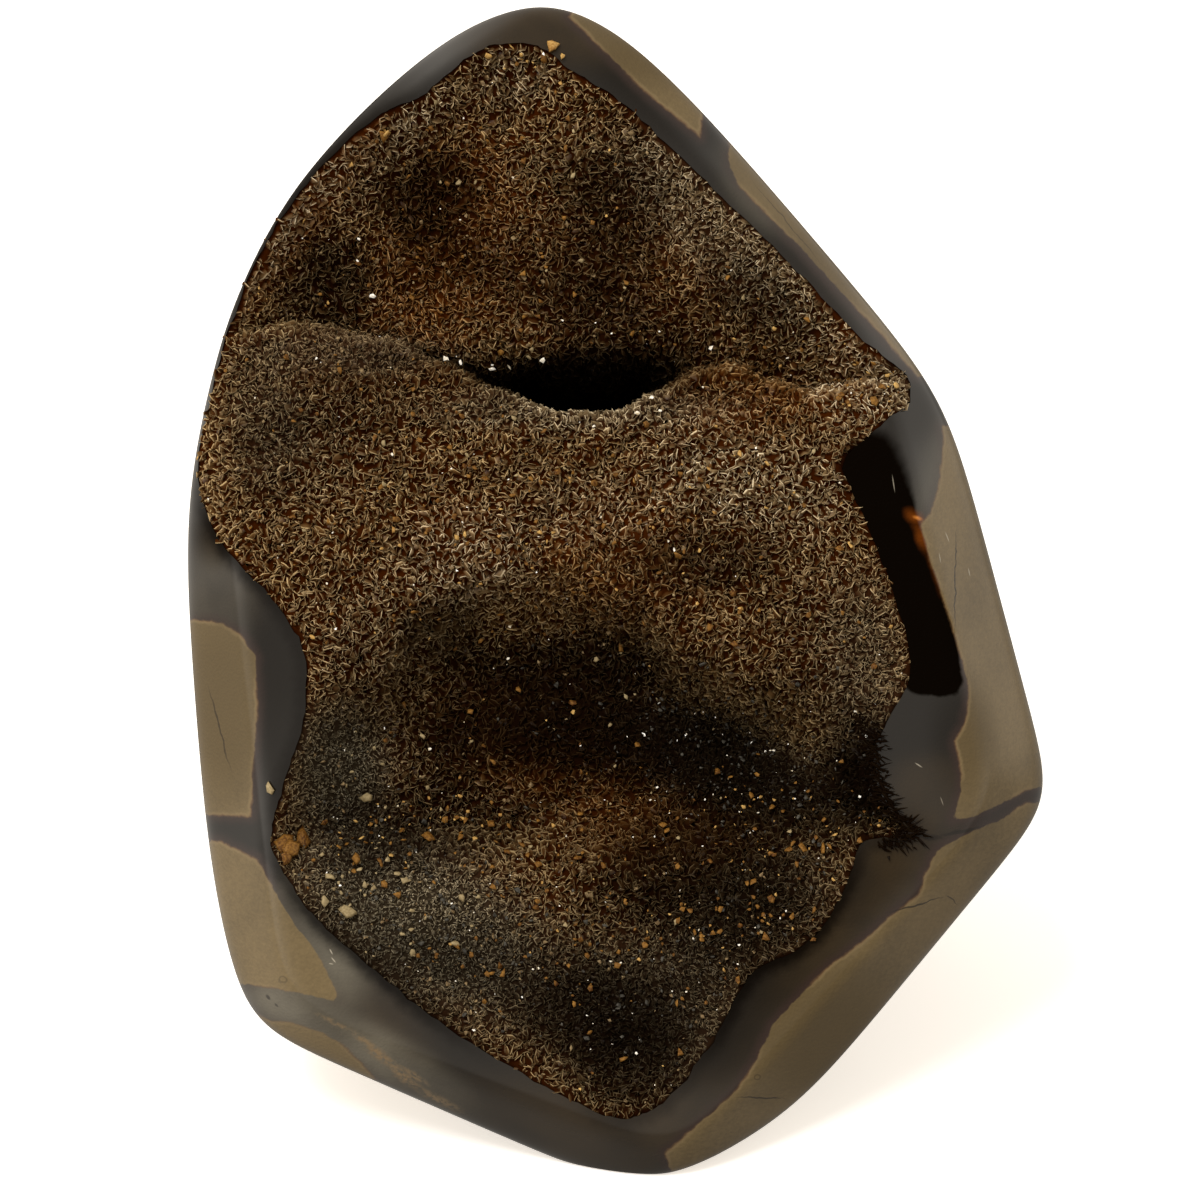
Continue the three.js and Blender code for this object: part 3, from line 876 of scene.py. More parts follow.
def single_crystals(relief, settings, chance):
    """Feet, half widths and ridges of crystals that stand by themselves."""
    u, v, inside = standing_spots(relief, settings.spacing / MM, chance)
    count = len(u)
    grey = tint_at(TINTS["grey"], u, v)
    normals = relief.normal_at(u, v)
    side, other = tangents(normals)
    lean = np.tan(settings.lean * chance.random(count) ** 0.8)
    lean_turn, turn = chance.uniform(0, 2 * math.pi, (2, count))
    up = unit(normals + lean[:, None] * heading(lean_turn, side, other))
    along = heading(turn, side, other)
    along = unit(along - (along * up).sum(1, keepdims=True) * up)
    across = np.cross(up, along)
    size = (1 + 0.4 * chance.standard_normal(count).clip(-1.4, 1.8)) * (1 - GREY_SHORTER * grey)
    length = settings.length / MM * size
    lower = 1 - GREY_LOWER * grey
    height = settings.height / MM * chance.uniform(0.45, 1.2, count) * lower
    height = height * lerp(0.65, 1, smooth(inside, 0, 3))
    half = settings.thickness / MM / 2 * chance.uniform(0.7, 1.3, count) * lower
    bend = 0.14 * length * chance.uniform(-1, 1, count)
    feet = np.column_stack([u, v, relief.level_at(u, v)])
    at = np.array([-1.0, 0.0, 1.0])
    middle = feet[:, None] + stretched(at * length[:, None] / 2, along)
    middle = middle + stretched((1 - at**2) * bend[:, None], across)
    jag = chance.uniform(-0.3, 0.3, (count, 3)) * half[:, None]
    rise = height[:, None] * (ROOF + chance.uniform(-0.25, 0.25, (count, 3)))
    tops = middle + stretched(rise, up) + stretched(jag, across)
    return middle - FOOT_DEPTH * up[:, None], stretched(half[:, None] * ROOF, across), tops


def crystal_net(relief, cell, chance):
    """The knots of a net over the crust, how grey it is there, and the pairs its walls join."""
    seeds = loose_lattice(cell, margin=2, jitter=0.4, chance=chance)
    _, _, faces, *_ = geometry.delaunay_2d_cdt([Vector(p) for p in seeds], [], [], 0, 1e-6)
    faces = np.array(faces)
    knots = seeds[faces].mean(1) + chance.uniform(-0.16, 0.16, (len(faces), 2)) * cell
    edges = np.sort(sides_of(faces), axis=1)
    owner = np.tile(np.arange(len(faces)), 3)
    order = np.lexsort(edges.T)
    edges, owner = edges[order], owner[order]
    shared = (edges[1:] == edges[:-1]).all(1)
    pairs = np.column_stack([owner[:-1][shared], owner[1:][shared]])
    inside = relief.inside_at(*knots.T)
    pairs = pairs[(inside[pairs] > IN_MOUTH).all(1)]
    grey = tint_at(TINTS["grey"], *knots.T)
    kept = chance.random(len(pairs)) > NET_GAPS + MORE_GAPS * grey[pairs[:, 0]]
    return knots, grey, pairs[kept]


def joined_crystals(relief, settings, chance):
    """The same for crystals that have grown together into a net of crooked walls."""
    knots, grey, pairs = crystal_net(relief, settings.net_cell / MM, chance)
    count = len(pairs)
    normals = relief.normal_at(*knots.T)
    side, other = tangents(normals)
    feet = np.column_stack([knots, relief.level_at(*knots.T)])
    height = settings.height / MM * chance.uniform(0.45, 1.05, len(knots))
    height = height * (1 - NET_LOWER * grey)
    tilt = chance.normal(0, CROOKED, (2, len(knots))) * height
    tops = feet + height[:, None] * normals + tilt[0][:, None] * side + tilt[1][:, None] * other

    first, last = feet[pairs[:, 0]], feet[pairs[:, 1]]
    along = unit(last - first)
    up = unit(normals[pairs[:, 0]] + normals[pairs[:, 1]])
    across = unit(np.cross(up, along))
    reach = np.linalg.norm(last - first, axis=1)
    bend = chance.uniform(-0.12, 0.12, count) * reach
    centre = (first + last) / 2 + bend[:, None] * across
    centre[:, 2] = relief.level_at(centre[:, 0], centre[:, 1])
    ends = tops[pairs]
    rise = chance.uniform(0.5, 0.95, count) * height[pairs].mean(1)
    lean = chance.normal(0, CROOKED, count) * rise
    crest = centre + rise[:, None] * up + lean[:, None] * across
    half = settings.thickness / MM / 2 * chance.uniform(0.3, 0.7, count)
    low = np.stack([first, centre, last], 1) - FOOT_DEPTH * up[:, None]
    tops = np.stack([ends[:, 0], crest, ends[:, 1]], 1)
    return low, stretched(half[:, None] * ROOF, across), tops


# Where needles reach from the crust over the polish: points of the rim, the way they point in
# degrees, and how long they are.
NEEDLE_RIM = (
    (49.5, -22, -20, 2.5), (51.2, -26, -15, 3.5), (50.8, -30, -12, 4.0), (52, -34, -20, 4.5),
    (53.8, -38.5, -25, 4.5), (57, -42, -15, 4.5), (58, -43.4, -5, 4.5), (52, -46, -60, 2.5),
)
NEEDLES = 480
NEEDLE_HALF = 0.2
NEEDLE_WIDTH = np.array([1.0, 0.8, 0.1])
NEEDLE_HEIGHT = np.array([1.2, 0.9, 0.1])


def needle_crystals(chance):
    """Feet, half widths and ridges of thin needles that reach over the polish at the right."""
    rim = np.array(NEEDLE_RIM, float)
    at = chance.random(NEEDLES) * (len(rim) - 1)
    u, v, turn, reach = (np.interp(at, np.arange(len(rim)), column) for column in rim.T)
    turn = np.radians(turn + chance.normal(0, 30, NEEDLES))
    way = np.column_stack([np.cos(turn), np.sin(turn)])
    start = np.column_stack([u, v]) + chance.normal(-1.0, 1.2, (NEEDLES, 1)) * way
    length = reach * chance.uniform(0.2, 0.85, NEEDLES) ** 1.5
    ends = np.stack([start, start + way * length[:, None]], 1)
    lift = chance.uniform(0.1, 0.7, (NEEDLES, 2))
    level = front_level(ends[..., 0], ends[..., 1]) + lift
    ends = np.concatenate([ends, level[..., None]], 2)
    feet = np.stack([ends[:, 0], ends.mean(1), ends[:, 1]], 1)
    across = np.column_stack([-way[:, 1], way[:, 0], np.zeros(NEEDLES)])
    half = NEEDLE_HALF * chance.uniform(0.6, 1.3, NEEDLES)
    tops = feet + stretched(half[:, None] * NEEDLE_HEIGHT, np.array([[0, 0, 1.0]]))
    return feet, stretched(half[:, None] * NEEDLE_WIDTH, across), tops


def build_bed(outline, relief, material):
    """The closed slab that the crystals stand on."""
    bed = slab_over_mouth(
        "crust_bed", outline, BED_STEP,
        relief.level_at, lambda u, v: relief.level_at(u, v) - BED_THICKNESS,
    )
    placed = lie_down(points_of(bed))
    tints = tints_at(TINTS, placed[:, 0], placed[:, 1])
    nothing = np.zeros(len(placed))
    store(bed, tip=nothing, fleck=nothing, facet=nothing, **tints)
    as_part(bed, "crystal_crust", material)


def parts_of_hollow(u, v):
    """The pieces that crystals are gathered in, and which crystals each holds."""
    above_ridge = v > level_of(RIDGE, u)
    above_undercut = v > level_of(UNDERCUT, u)
    on_boulder = ~above_ridge & above_undercut
    return {
        "crystals_upper_bed": above_ridge,
        "crystals_boulder_left": on_boulder & (u < 0),
        "crystals_boulder_right": on_boulder & (u >= 0),
        "crystals_recess": ~above_undercut & (v > LEDGE_LEVEL),
        "crystals_lower_bed": ~above_undercut & (v <= LEDGE_LEVEL),
    }


def build_crystals(settings):
    """The crust's bed, its crystals in one piece for each part of the hollow, and needles."""
    outline, relief = hollow_shape()
    material = crystal_material(settings)
    build_bed(outline, relief, material)

    chance = np.random.default_rng(settings.seed)
    kinds = single_crystals(relief, settings, chance), joined_crystals(relief, settings, chance)
    feet, halves, tops = (np.concatenate(both) for both in zip(*kinds))
    u, v = feet[:, 1, 0], feet[:, 1, 1]
    tints = tints_at(TINTS, u, v)
    tints["fleck"], tints["facet"] = chance.random((2, len(u)))
    for name, chosen in parts_of_hollow(u, v).items():
        own = {key: value[chosen] for key, value in tints.items()}
        made = roof_piece(name, feet[chosen], halves[chosen], tops[chosen], own)
        as_part(made, "crystal_crust", material)

    needles = needle_crystals(chance)
    tints = dict.fromkeys(TINTS, np.zeros(NEEDLES))
    # The needles take the painted shade in full, so they are near black.
    tints["dark"] = np.ones(NEEDLES)
    tints["fleck"], tints["facet"] = chance.random((2, NEEDLES))
    made = roof_piece("needles", *needles, tints)
    as_part(made, "crystal_crust", material)


# ------------------------------------------------------------------ grains on the crust
# Loose grains: u, v and size.
RUST_GRAINS = (
    (-58.4, -45.2, 4.6), (-56.6, -45.1, 4.4), (-57.9, -46.6, 4.4), (-58.2, -47.8, 3.2),
    (-49.4, -47, 1.2), (-46.8, -46.8, 1.4), (-36.7, -46.4, 1.4),
    (-35.3, -47.6, 1.2), (-41.5, -48.7, 1.1), (-29.3, -41.7, 1.5), (-28.2, -39.9, 1.4),
    (-25.6, -45.1, 1.5), (-15, -47, 1.6), (-4.3, -49.4, 1.5), (32.5, -48.1, 1.2),
    (36.7, -46.4, 1.6), (43.4, -46, 1.5), (48.1, -45.1, 1.5), (37.4, -49.6, 1.2),
    (42.7, -41.5, 1.2), (35, -59, 1.5), (39.7, -57.2, 1.3), (26.5, -60.2, 1.4),
    (22.4, -62.2, 1.3), (30.8, -62.6, 1.6), (39.7, -63.2, 1.3), (-3.9, -63.2, 1.4),
    (-1.7, -63.7, 1.1), (44.7, 9.4, 1.8), (-13.3, 7, 1.4), (-33.7, 0.9, 1.3),
    (-25.2, 10.3, 1.4), (-58.5, 45.3, 1.2), (45.7, 36.1, 1.7), (51.9, 39.1, 1.5),
    (-40.3, 86.8, 2.6), (-10, 100.9, 2.0), (-46, -48.5, 2.2), (-32.5, -45.6, 2.4),
    (-20.5, -43.2, 2.2), (50.5, 36.5, 2.0), (43, -46.5, 2.2), (37.5, -47, 1.9),
)
PALE_GRAINS = (
    (-46.6, -58.7, 3.4), (-43.8, -37, 2.6), (-49.8, -51.3, 2.0), (-44.2, -53.2, 2.0),
    (-51.7, -56, 2.1), (-60.2, -34.6, 2.0), (-37, -52.6, 1.6), (-25.6, -55.6, 1.7),
    (-34.6, -64.7, 1.8), (-27.3, -64.5, 1.6),
)
# Golden grains; the bright gold of those on the crown's rim at the top is partly a painted glint.
GOLD_GRAINS = (
    (-8.9, 102.0, 2.6), (-7.4, 100.3, 1.8), (-20.3, 101.7, 1.4), (-17.4, 101.9, 1.4),
    (-14.6, 101.8, 1.2), (-27.2, 11.5, 1.6), (-25.4, 12.2, 1.2), (45.6, 9.4, 1.6),
    (26.6, 27.2, 1.2), (31.5, 26, 1.2), (20.5, 15.6, 1.2), (54, 39.5, 1.6), (50.5, 37.8, 1.2),
    (-40.9, 87.3, 2.6), (-39.2, 88.4, 1.6),
)
# Painted glints: white flakes that glow, where the crystals flash.
SPARKS = (
    (-29, 45.7, 1.3), (-27.4, 45, 1.1), (-20.9, 45.4, 1.5), (-16.3, 45.2, 1.1), (-11, 46.3, 1.3),
    (21, 48, 1.0), (10, 36.5, 1.2), (7.5, 35, 1.2), (-42.7, 58.5, 1.6), (-37.6, 27, 0.9),
    (-17, -5.6, 1.2), (-15.5, 80, 0.8), (9, -25, 0.9),
    (-45.8, 64, 0.6), (11, 35, 0.7), (-20.5, 46, 0.8), (33, -30, 0.7), (-8, 3, 0.6),
    (-9.8, 101, 0.9),
)

# Where scattered grains lie thickest: a level that holds everywhere, then zones with the rise,
# u, v, long and wide half sizes, and turn of each.
RUSTY = (
    0, (0.9, -36, -48, 22, 5, 0), (0.9, 40, -45, 14, 9, 0), (0.9, 28, -61, 14, 6, 0),
    (0.35, -28, 60, 30, 45, 0), (0.9, 46, 43, 14, 7, -20), (0.25, 0, 10, 55, 30, 0),
    (0.5, 0, -60, 40, 20, 0), (0.9, -32, 88, 13, 4, 35),
)
PALEST = (0, (0.9, -45, -52, 16, 16, 0), (0.15, 0, 0, 60, 80, 0))
GOLDEN = (
    0.02, (1, -53, 77, 27, 2.5, 57), (0.8, 48, 41, 14, 6, -15), (0.5, -38, -42, 20, 5, 0),
    (0.4, 36, -46, 16, 8, 0), (0.3, 24, -62, 20, 8, 0), (0.3, -22, 10, 20, 8, 0),
    (0.3, 28, 18, 20, 9, 0), (0.4, -14, 98, 14, 6, 0),
)
FLASHING = (
    0.15, (0.9, 28, -32, 26, 12, -25), (0.4, -5, 44, 40, 6, 0), (0.4, 0, -60, 40, 30, 0),
    (0.6, 42, 48, 20, 6, -40),
)
GREYEST = (0, (0.9, 26, -30, 26, 12, -20), (0.4, 20, -70, 30, 16, 0), (0.5, -30, -58, 26, 14, -30))


def thickest_in(zones):
    """How likely a grain lies at u, v, from a level and zones."""
    level, *zones = zones
    return lambda u, v: sum((rise * patch(u, v, *place) for rise, *place in zones), level)


def off_dark(u, v):
    """How likely a shard lies at u, v: least where the crystals have painted shade or are grey."""
    return (1 - tint_at(TINTS["dark"], u, v)) * (1 - 0.7 * tint_at(TINTS["grey"], u, v))


FLATNESS = 0.28  # half thickness of a flake, as a share of its half width

# Kinds of grain: their own places, how many more are scattered, the least and most size of
# those, where they lie thickest, the form (sides, how far they tumble, height above the bed),
# and how much they glow. The sparks are painted glints: white flakes that glow of themselves.
GRAINS = {
    "rust_grains": (RUST_GRAINS, 520, (0.6, 1.7), thickest_in(RUSTY), (5, 0.35, 1.1), 0),
    "gold_grains": (GOLD_GRAINS, 260, (0.4, 1.2), thickest_in(GOLDEN), (5, 0.5, 1.1), 0),
    "pale_grains": (PALE_GRAINS, 160, (0.5, 1.3), thickest_in(PALEST), (6, 0.3, 1.1), 0),
    "sparks": (SPARKS, 240, (0.25, 0.7), thickest_in(FLASHING), (5, 0.6, 1.1), 0.5),
    "grey_facets": ((), 700, (0.4, 1.3), thickest_in(GREYEST), (5, 0.8, 1.0), 0),
    "tan_shards": ((), 5000, (0.5, 1.3), off_dark, (4, 0.9, 0.45), 0),
}


def flake_shapes(size, sides, chance):
    """Corners of crooked flakes that lie flat: a ring, a smaller top and a point below."""
    count = len(size)
    turn = np.arange(sides) * 2 * math.pi / sides + chance.uniform(-0.3, 0.3, (count, sides))
    ragged = np.clip(1.4 / size, 0.25, 0.5)[:, None]
    reach = 1 + ragged * chance.uniform(-1, 1, (count, sides))
    ring = np.stack([reach * np.cos(turn), 0.8 * reach * np.sin(turn), 0 * reach], -1)
    top = ring * chance.uniform(0.55, 0.85, (count, sides, 1))
    top[..., 2] = FLATNESS * chance.uniform(0.7, 1.2, (count, sides))
    bottom = np.zeros((count, 1, 3)) - [0, 0, FLATNESS]
    return np.concatenate([ring, top, bottom], 1) * size[:, None, None] / 2


def flake_faces(sides):
    """Faces of one flake: its four-sided walls, and the triangles below and on top."""
    k = np.arange(sides)
    after = (k + 1) % sides
    walls = np.column_stack([k, after, after + sides, k + sides])
    below = np.column_stack([after, k, np.full(sides, 2 * sides)])
    lid = np.column_stack([np.full(sides - 2, sides), k[1:-1] + sides, k[2:] + sides])
    return walls, np.concatenate([below, lid])


def flake_piece(name, relief, places, sides, tumble, lift, chance):
    """Small angular flakes as one mesh, each lying on the crust in its own direction."""
    u, v, size = np.array(places, float).T
    shapes = flake_shapes(size, sides, chance)
    twist = chance.uniform(0, 2 * math.pi, len(u))
    normals = relief.normal_at(u, v)
    normals = unit(normals + chance.normal(0, tumble, normals.shape))
    first = heading(twist, *tangents(normals))
    axes = np.stack([first, np.cross(normals, first), normals], 1)
    feet = np.column_stack([u, v, relief.level_at(u, v)]) + (lift + 0.15 * size)[:, None] * normals
    points = np.einsum("nkc,ncx->nkx", shapes, axes) + feet[:, None]
    count, corners, _ = shapes.shape
    start = np.arange(count)[:, None, None] * corners
    walls, triangles = flake_faces(sides)
    made = mesh_of(
        name, stand_up(points.reshape(-1, 3)),
        (walls + start).reshape(-1, 4), (triangles + start).reshape(-1, 3),
    )
    store(made, fleck=np.repeat(chance.random(count), corners))
    return made


def scattered(relief, chance, count, least, most, weight):
    """Random places on the crust, most where weight(u, v) is high and none in the dark hole."""
    low, high = np.array(MOUTH).min(0), np.array(MOUTH).max(0)
    found = np.empty((0, 3))
    while len(found) < count:
        u, v = chance.uniform(low[:, None], high[:, None], (2, 2 * count))
        size = least + (most - least) * chance.random(len(u)) ** 2
        likely = weight(u, v) * (1 - tint_at(HOLE_SHADE_ZONE, u, v))
        kept = (relief.inside_at(u, v) > 1) & (chance.random(len(u)) < likely)
        found = np.concatenate([found, np.column_stack([u, v, size])[kept]])
    return found[:count].tolist()


def build_grains(settings):
    """Rusty, golden and pale grains, grey and tan facets, and the few that flash: painted glints.
    """
    _, relief = hollow_shape()
    chance = np.random.default_rng(settings.seed + 1)
    for name, (placed, more, sizes, weight, form, glow) in GRAINS.items():
        look = name.split("_")[0]
        dark, light = (getattr(settings, f"{look}_{tone}") for tone in ("shade", "colour"))
        places = list(placed) + scattered(relief, chance, more, *sizes, weight)
        made = flake_piece(name, relief, places, *form, chance)
        as_part(made, "crystal_crust", grain_material(name, dark, light, glow))


# ------------------------------------------------------------------ materials
class Value:
    """A node's socket that takes part in sums as a number does."""

    def __init__(self, graph, socket):
        self.graph = graph
        self.socket = socket

    def math(self, operation, *others):
        sockets = dict(enumerate((self, *others)))
        return self.graph.node("Math", {"operation": operation}, sockets)

    def reflected(self, operation, other):
        return self.graph.node("Math", {"operation": operation}, {0: other, 1: self})

    def __add__(self, other):
        return self.math("ADD", other)

    def __sub__(self, other):
        return self.math("SUBTRACT", other)

    def __rsub__(self, other):
        return self.reflected("SUBTRACT", other)

    def __mul__(self, other):
        return self.math("MULTIPLY", other)

    def __rtruediv__(self, other):
        return self.reflected("DIVIDE", other)

    def __abs__(self):
        return self.math("ABSOLUTE")

    __radd__ = __add__
    __rmul__ = __mul__

    def at_least(self, other):
        return self.math("MAXIMUM", other)

    def between(self, low, high):
        """0 below low, 1 above high, and an even curve between."""
        sockets = {"Value": self, "From Min": low, "From Max": high, "To Min": 0.0, "To Max": 1.0}
        return self.graph.node("MapRange", {"interpolation_type": "SMOOTHSTEP"}, sockets)


class Graph:
    """The nodes of a material or world, made one after another."""

    def __init__(self, owner):
        self.owner = owner
        owner.use_nodes = True
        self.tree = owner.node_tree
        self.tree.nodes.clear()

    def node(self, kind, settings=None, sockets=None, output=0):
        """Makes a shader node: its settings first, then the values or links of its sockets."""
        made = self.tree.nodes.new("ShaderNode" + kind)
        for name, value in (settings or {}).items():
            setattr(made, name, value)
        for name, value in (sockets or {}).items():
            if isinstance(value, Value):
                self.tree.links.new(value.socket, made.inputs[name])
            else:
                made.inputs[name].default_value = value
        return Value(self, made.outputs[output]) if made.outputs else None

    def attribute(self, name, output="Fac"):
        return self.node("Attribute", {"attribute_name": name}, output=output)

    def part(self, vector, axis):
        return self.node("SeparateXYZ", sockets={"Vector": vector}, output=axis)

    def vector(self, operation, *vectors, output=0):
        """Vector maths on vectors."""
        return self.node("VectorMath", {"operation": operation}, dict(enumerate(vectors)), output)

    def noise(self, place, scale, detail=2.0, output="Fac"):
        sockets = {"Vector": place, "Scale": scale, "Detail": detail}
        return self.node("TexNoise", {"noise_dimensions": "3D"}, sockets, output)

    def blend(self, share, first, second):
        """Colour that is the first where share is 0 and the second where it is 1."""
        sockets = {0: share, 6: as_colour(first), 7: as_colour(second)}
        return self.node("Mix", {"data_type": "RGBA"}, sockets, 2)

    def finish(self, **sockets):
        """Ends the material in a Principled shader with these sockets."""
        names = {name.replace("_", " "): value for name, value in sockets.items()}
        shader = self.node("BsdfPrincipled", sockets=names)
        self.node("OutputMaterial", sockets={"Surface": shader})
        return self.owner


def new_material(name):
    return Graph(bpy.data.materials.new(name))


def as_colour(tone):
    """A tone of three numbers as a socket takes it; a link as it is."""
    return tone if isinstance(tone, Value) else (*tone, 1.0)


# Marks on the polished front: two ends on the front plane, half width, and strength.
CRACKS = (
    ((66.0, 15.8), (65.6, -8.6), 0.16, 0.9),
    ((-72.9, -14.2), (-67.9, -33.2), 0.2, 0.7),
    ((52.2, -58.3), (64.8, -54.4), 0.22, 0.8),
    ((63.9, -54.2), (66.4, -56.6), 0.2, 0.7),
    ((24.4, -92.0), (35.3, -92.3), 0.2, 0.8),
    ((26.7, 79.3), (42.9, 59.9), 0.14, 0.5),
    ((56.0, -43.5), (64.6, -44.2), 0.8, 1.0),
    ((61.4, -44.0), (71.6, -41.8), 0.45, 1.0),
    ((-61.9, -72.8), (-61.0, -74.0), 0.4, 0.8),
    ((-60.6, -74.4), (-59.6, -75.2), 0.3, 0.7),
)
# The last and widest scratch, by the crown at the upper left, is a painted highlight on the
# polished rim.
SCRATCHES = (
    ((63.8, 12.8), (64.7, 10.5), 0.14, 0.6), ((62.7, 8.9), (63.1, 6.6), 0.12, 0.6),
    ((68.1, 6.1), (68.5, 4.2), 0.14, 0.6), ((54.0, 23.5), (54.6, 19.6), 0.13, 0.5),
    ((-50.1, -64.4), (-49.4, -65.7), 0.16, 0.8), ((-49.8, -66.0), (-48.8, -67.2), 0.16, 0.8),
    ((-50.3, -67.2), (-49.2, -67.4), 0.14, 0.7), ((58.1, -30.0), (59.8, -31.1), 0.16, 0.6),
    ((62.9, -36.2), (63.6, -38.2), 0.12, 0.4), ((-33.6, 91.0), (-25.0, 98.8), 0.7, 0.25),
)
STRANDS = (
    ((-54.0, -75.6), (-44.0, -80.8), 0.6, 0.6), ((-47.3, -78.9), (-38.7, -85.2), 1.1, 0.8),
    ((-45.5, -80.2), (-36.0, -88.2), 1.5, 1.0), ((-41.5, -84.0), (-31.6, -91.6), 1.4, 1.0),
    ((-38.5, -85.2), (-30.5, -90.6), 0.8, 0.8), ((-36.2, -89.2), (-24.0, -95.4), 1.1, 0.7),
)
# Amber: clear calcite, painted bright where light glows through it at a thin corner, brightest at
# its core.
AMBER = (
    ((55.6, 17.2), (60.8, 13.7), 1.9, 0.5), ((57.6, 16.0), (61.2, 7.4), 1.7, 0.45),
    ((59.6, 12.5), (64.0, -1.4), 1.2, 0.2),
)
AMBER_CORES = (((57.8, 15.9), (59.9, 14.6), 0.6, 0.6),)
RINGS_SEEN = ((29.0, -88.3, 0.55), (-58.7, -70.4, 0.75))


def oval_distance(g, place, middle, turn, long, wide):
    """Distance from the middle of an oval, 1 at its outline."""
    sockets = {
        "Vector": place,
        "Location": (*middle, 0),
        "Rotation": (0, 0, turn),
        "Scale": (long, wide, 1),
    }
    own = g.node("Mapping", {"vector_type": "TEXTURE"}, sockets)
    return g.vector("LENGTH", own, output=1)


def mark_mask(g, place, start, end, half_width, strength, soft=0.6):
    """Strength of a mark that tapers to both its ends."""
    start, end = np.array(start), np.array(end)
    middle, reach = (start + end) / 2, end - start
    turn = math.atan2(reach[1], reach[0])
    away = oval_distance(g, place, middle, turn, np.linalg.norm(reach) / 2, half_width)
    return (1 - away.between(1 - soft, 1.0)) * strength


def marks_mask(g, place, marks, soft=0.6):
    """Strength of the strongest of several marks."""
    masks = [mark_mask(g, place, *mark, soft) for mark in marks]
    return functools.reduce(Value.at_least, masks)


def ring_mask(g, place, at_u, at_v, radius):
    """Strength of a small faint ring."""
    away = oval_distance(g, place, (at_u, at_v), 0, radius, radius * 0.8)
    return (1 - abs(away - 1).between(0.1, 0.45)) * 0.35


def limestone_tone(g, settings, depth, mottle, fine):
    """Mottled limestone, paler along its edge."""
    tone = mottle.between(0.3, 0.7) * 0.6 + fine.between(0.2, 0.8) * 0.4
    # milky pales the limestone beside milky calcite, and toward the right edge as a painted
    # reflection.
    tone = tone * (1 - g.attribute("dim") * 0.95) + g.attribute("milky") * 0.5
    limestone = g.blend(tone, settings.limestone_shade, settings.limestone_colour)
    pale_edge = (1 - depth.between(0.1, 0.8)) * mottle.between(0.4, 0.6) * 0.6
    return g.blend(pale_edge, limestone, settings.limestone_edge)


def calcite_tone(g, settings, depth, mottle, painted_black_share):
    """Dark calcite: brown or milky in places, redder beside the limestone, painted black for the
    painted dark reflection and the painted rim shade.
    """
    milky = g.attribute("milky")
    cloudy = mottle.between(0.35, 0.7) * 0.5 + 0.5
    brown = g.attribute("brown") * cloudy
    calcite = g.blend(brown, settings.calcite_colour, settings.calcite_brown)
    calcite = g.blend(milky * cloudy, calcite, settings.calcite_milky)
    near_border = (depth + 2.2).between(0.0, 2.2) * (1 - milky)
    calcite = g.blend(near_border * 0.85, calcite, settings.calcite_edge)
    return g.blend(painted_black_share, calcite, settings.calcite_painted_dark)


def with_marks(g, settings, base, place, is_calcite, fine):
    """A tone with the marks over it: strands, amber with its painted glow, cracks, and scratches,
    one a painted highlight.
    """
    w = g.part(place, "Z")
    shrink = VIEW_DISTANCE / (VIEW_DISTANCE - w)
    seen = g.node("VectorMath", {"operation": "SCALE"}, {"Vector": place, "Scale": shrink})
    seen = g.vector("MULTIPLY", seen, (1, 1, 0))
    shift = g.vector("SUBTRACT", g.noise(place, 0.3, 2.0, "Color"), (0.5, 0.5, 0.5))
    shaken = g.vector("MULTIPLY_ADD", shift, (1.2, 1.2, 0), seen)
    cracks = marks_mask(g, shaken, CRACKS)
    for ring in RINGS_SEEN:
        cracks = cracks.at_least(ring_mask(g, shaken, *ring))
    layers = (
        (marks_mask(g, shaken, STRANDS, 1.0) * fine.between(0.3, 0.6), settings.strand_colour),
        (marks_mask(g, shaken, AMBER, 1.0) * is_calcite, settings.amber_colour),
        (marks_mask(g, shaken, AMBER_CORES, 1.0) * is_calcite, settings.amber_core),
        (cracks, settings.crack_colour),
        (marks_mask(g, seen, SCRATCHES), settings.scratch_colour),
    )
    in_front = (w + 26).between(0.0, 6.0)
    for mask, tone in layers:
        base = g.blend(mask * in_front, base, tone)
    return base


def stone_material(settings):
    """Polished limestone blocks parted by dark calcite, with a thin rusty line between, a painted
    dark reflection and painted rim shade.
    """
    g = new_material("polished_stone")
    place = g.attribute("face", "Vector")
    ragged = g.noise(place, 0.5, 3.0) - 0.5
    mottle = g.noise(place, 0.06, 4.0)
    fine = g.noise(place, 1.1, 4.0)
    depth = g.attribute("limestone") + ragged * 0.9
    is_limestone = depth.between(-0.16, 0.16)
    # Painted shade: in the shaded zones near the rim of the mouth, the calcite is painted black
    # and shines less.
    near_mouth = 1 - (g.attribute("rim") + ragged * 1.6).between(0.2, 3.4)
    near_mouth = near_mouth * g.attribute("shaded")
    # Painted reflection: in the black zone the calcite is painted black and loses its shine.
    fading = g.part(place, "Y").between(14, 28) * 2.4 + 0.45
    black = (g.attribute("black") + ragged).between(-0.3, fading)

    limestone = limestone_tone(g, settings, depth, mottle, fine)
    calcite = calcite_tone(g, settings, depth, mottle, black.at_least(near_mouth * 0.9))
    base = g.blend(is_limestone, calcite, limestone)
    border = (1 - abs(depth).between(0.05, 0.4)) * mottle.between(0.4, 0.6)
    base = g.blend(border * 0.5, base, settings.border_colour)
    base = with_marks(g, settings, base, place, 1 - is_limestone, fine)

    shine = (1 - black) * (1 - near_mouth * 0.6) * (1 - g.attribute("dim") * 0.45)
    shine = shine * (1 - g.attribute("deep") * 0.92) * (1 - is_limestone * 0.1)
    height = g.noise(place, 2.0, 0.0)
    bump = g.node("Bump", sockets={"Strength": 0.3, "Distance": 0.0003, "Height": height})
    return g.finish(
        Base_Color=base, Roughness=0.5, Specular_IOR_Level=0.0, Normal=bump,
        Coat_Weight=shine, Coat_IOR=1.56, Coat_Roughness=0.09,
    )


def crust_tone(g, settings, part, warm, grey):
    """Colour of a crystal's foot, face or ridge, redder and greyer in places."""
    looks = ("colour", "warm", "grey")
    own, redder, greyer = (getattr(settings, f"{part}_{look}") for look in looks)
    return g.blend(grey * 0.8, g.blend(warm, own, redder), greyer)


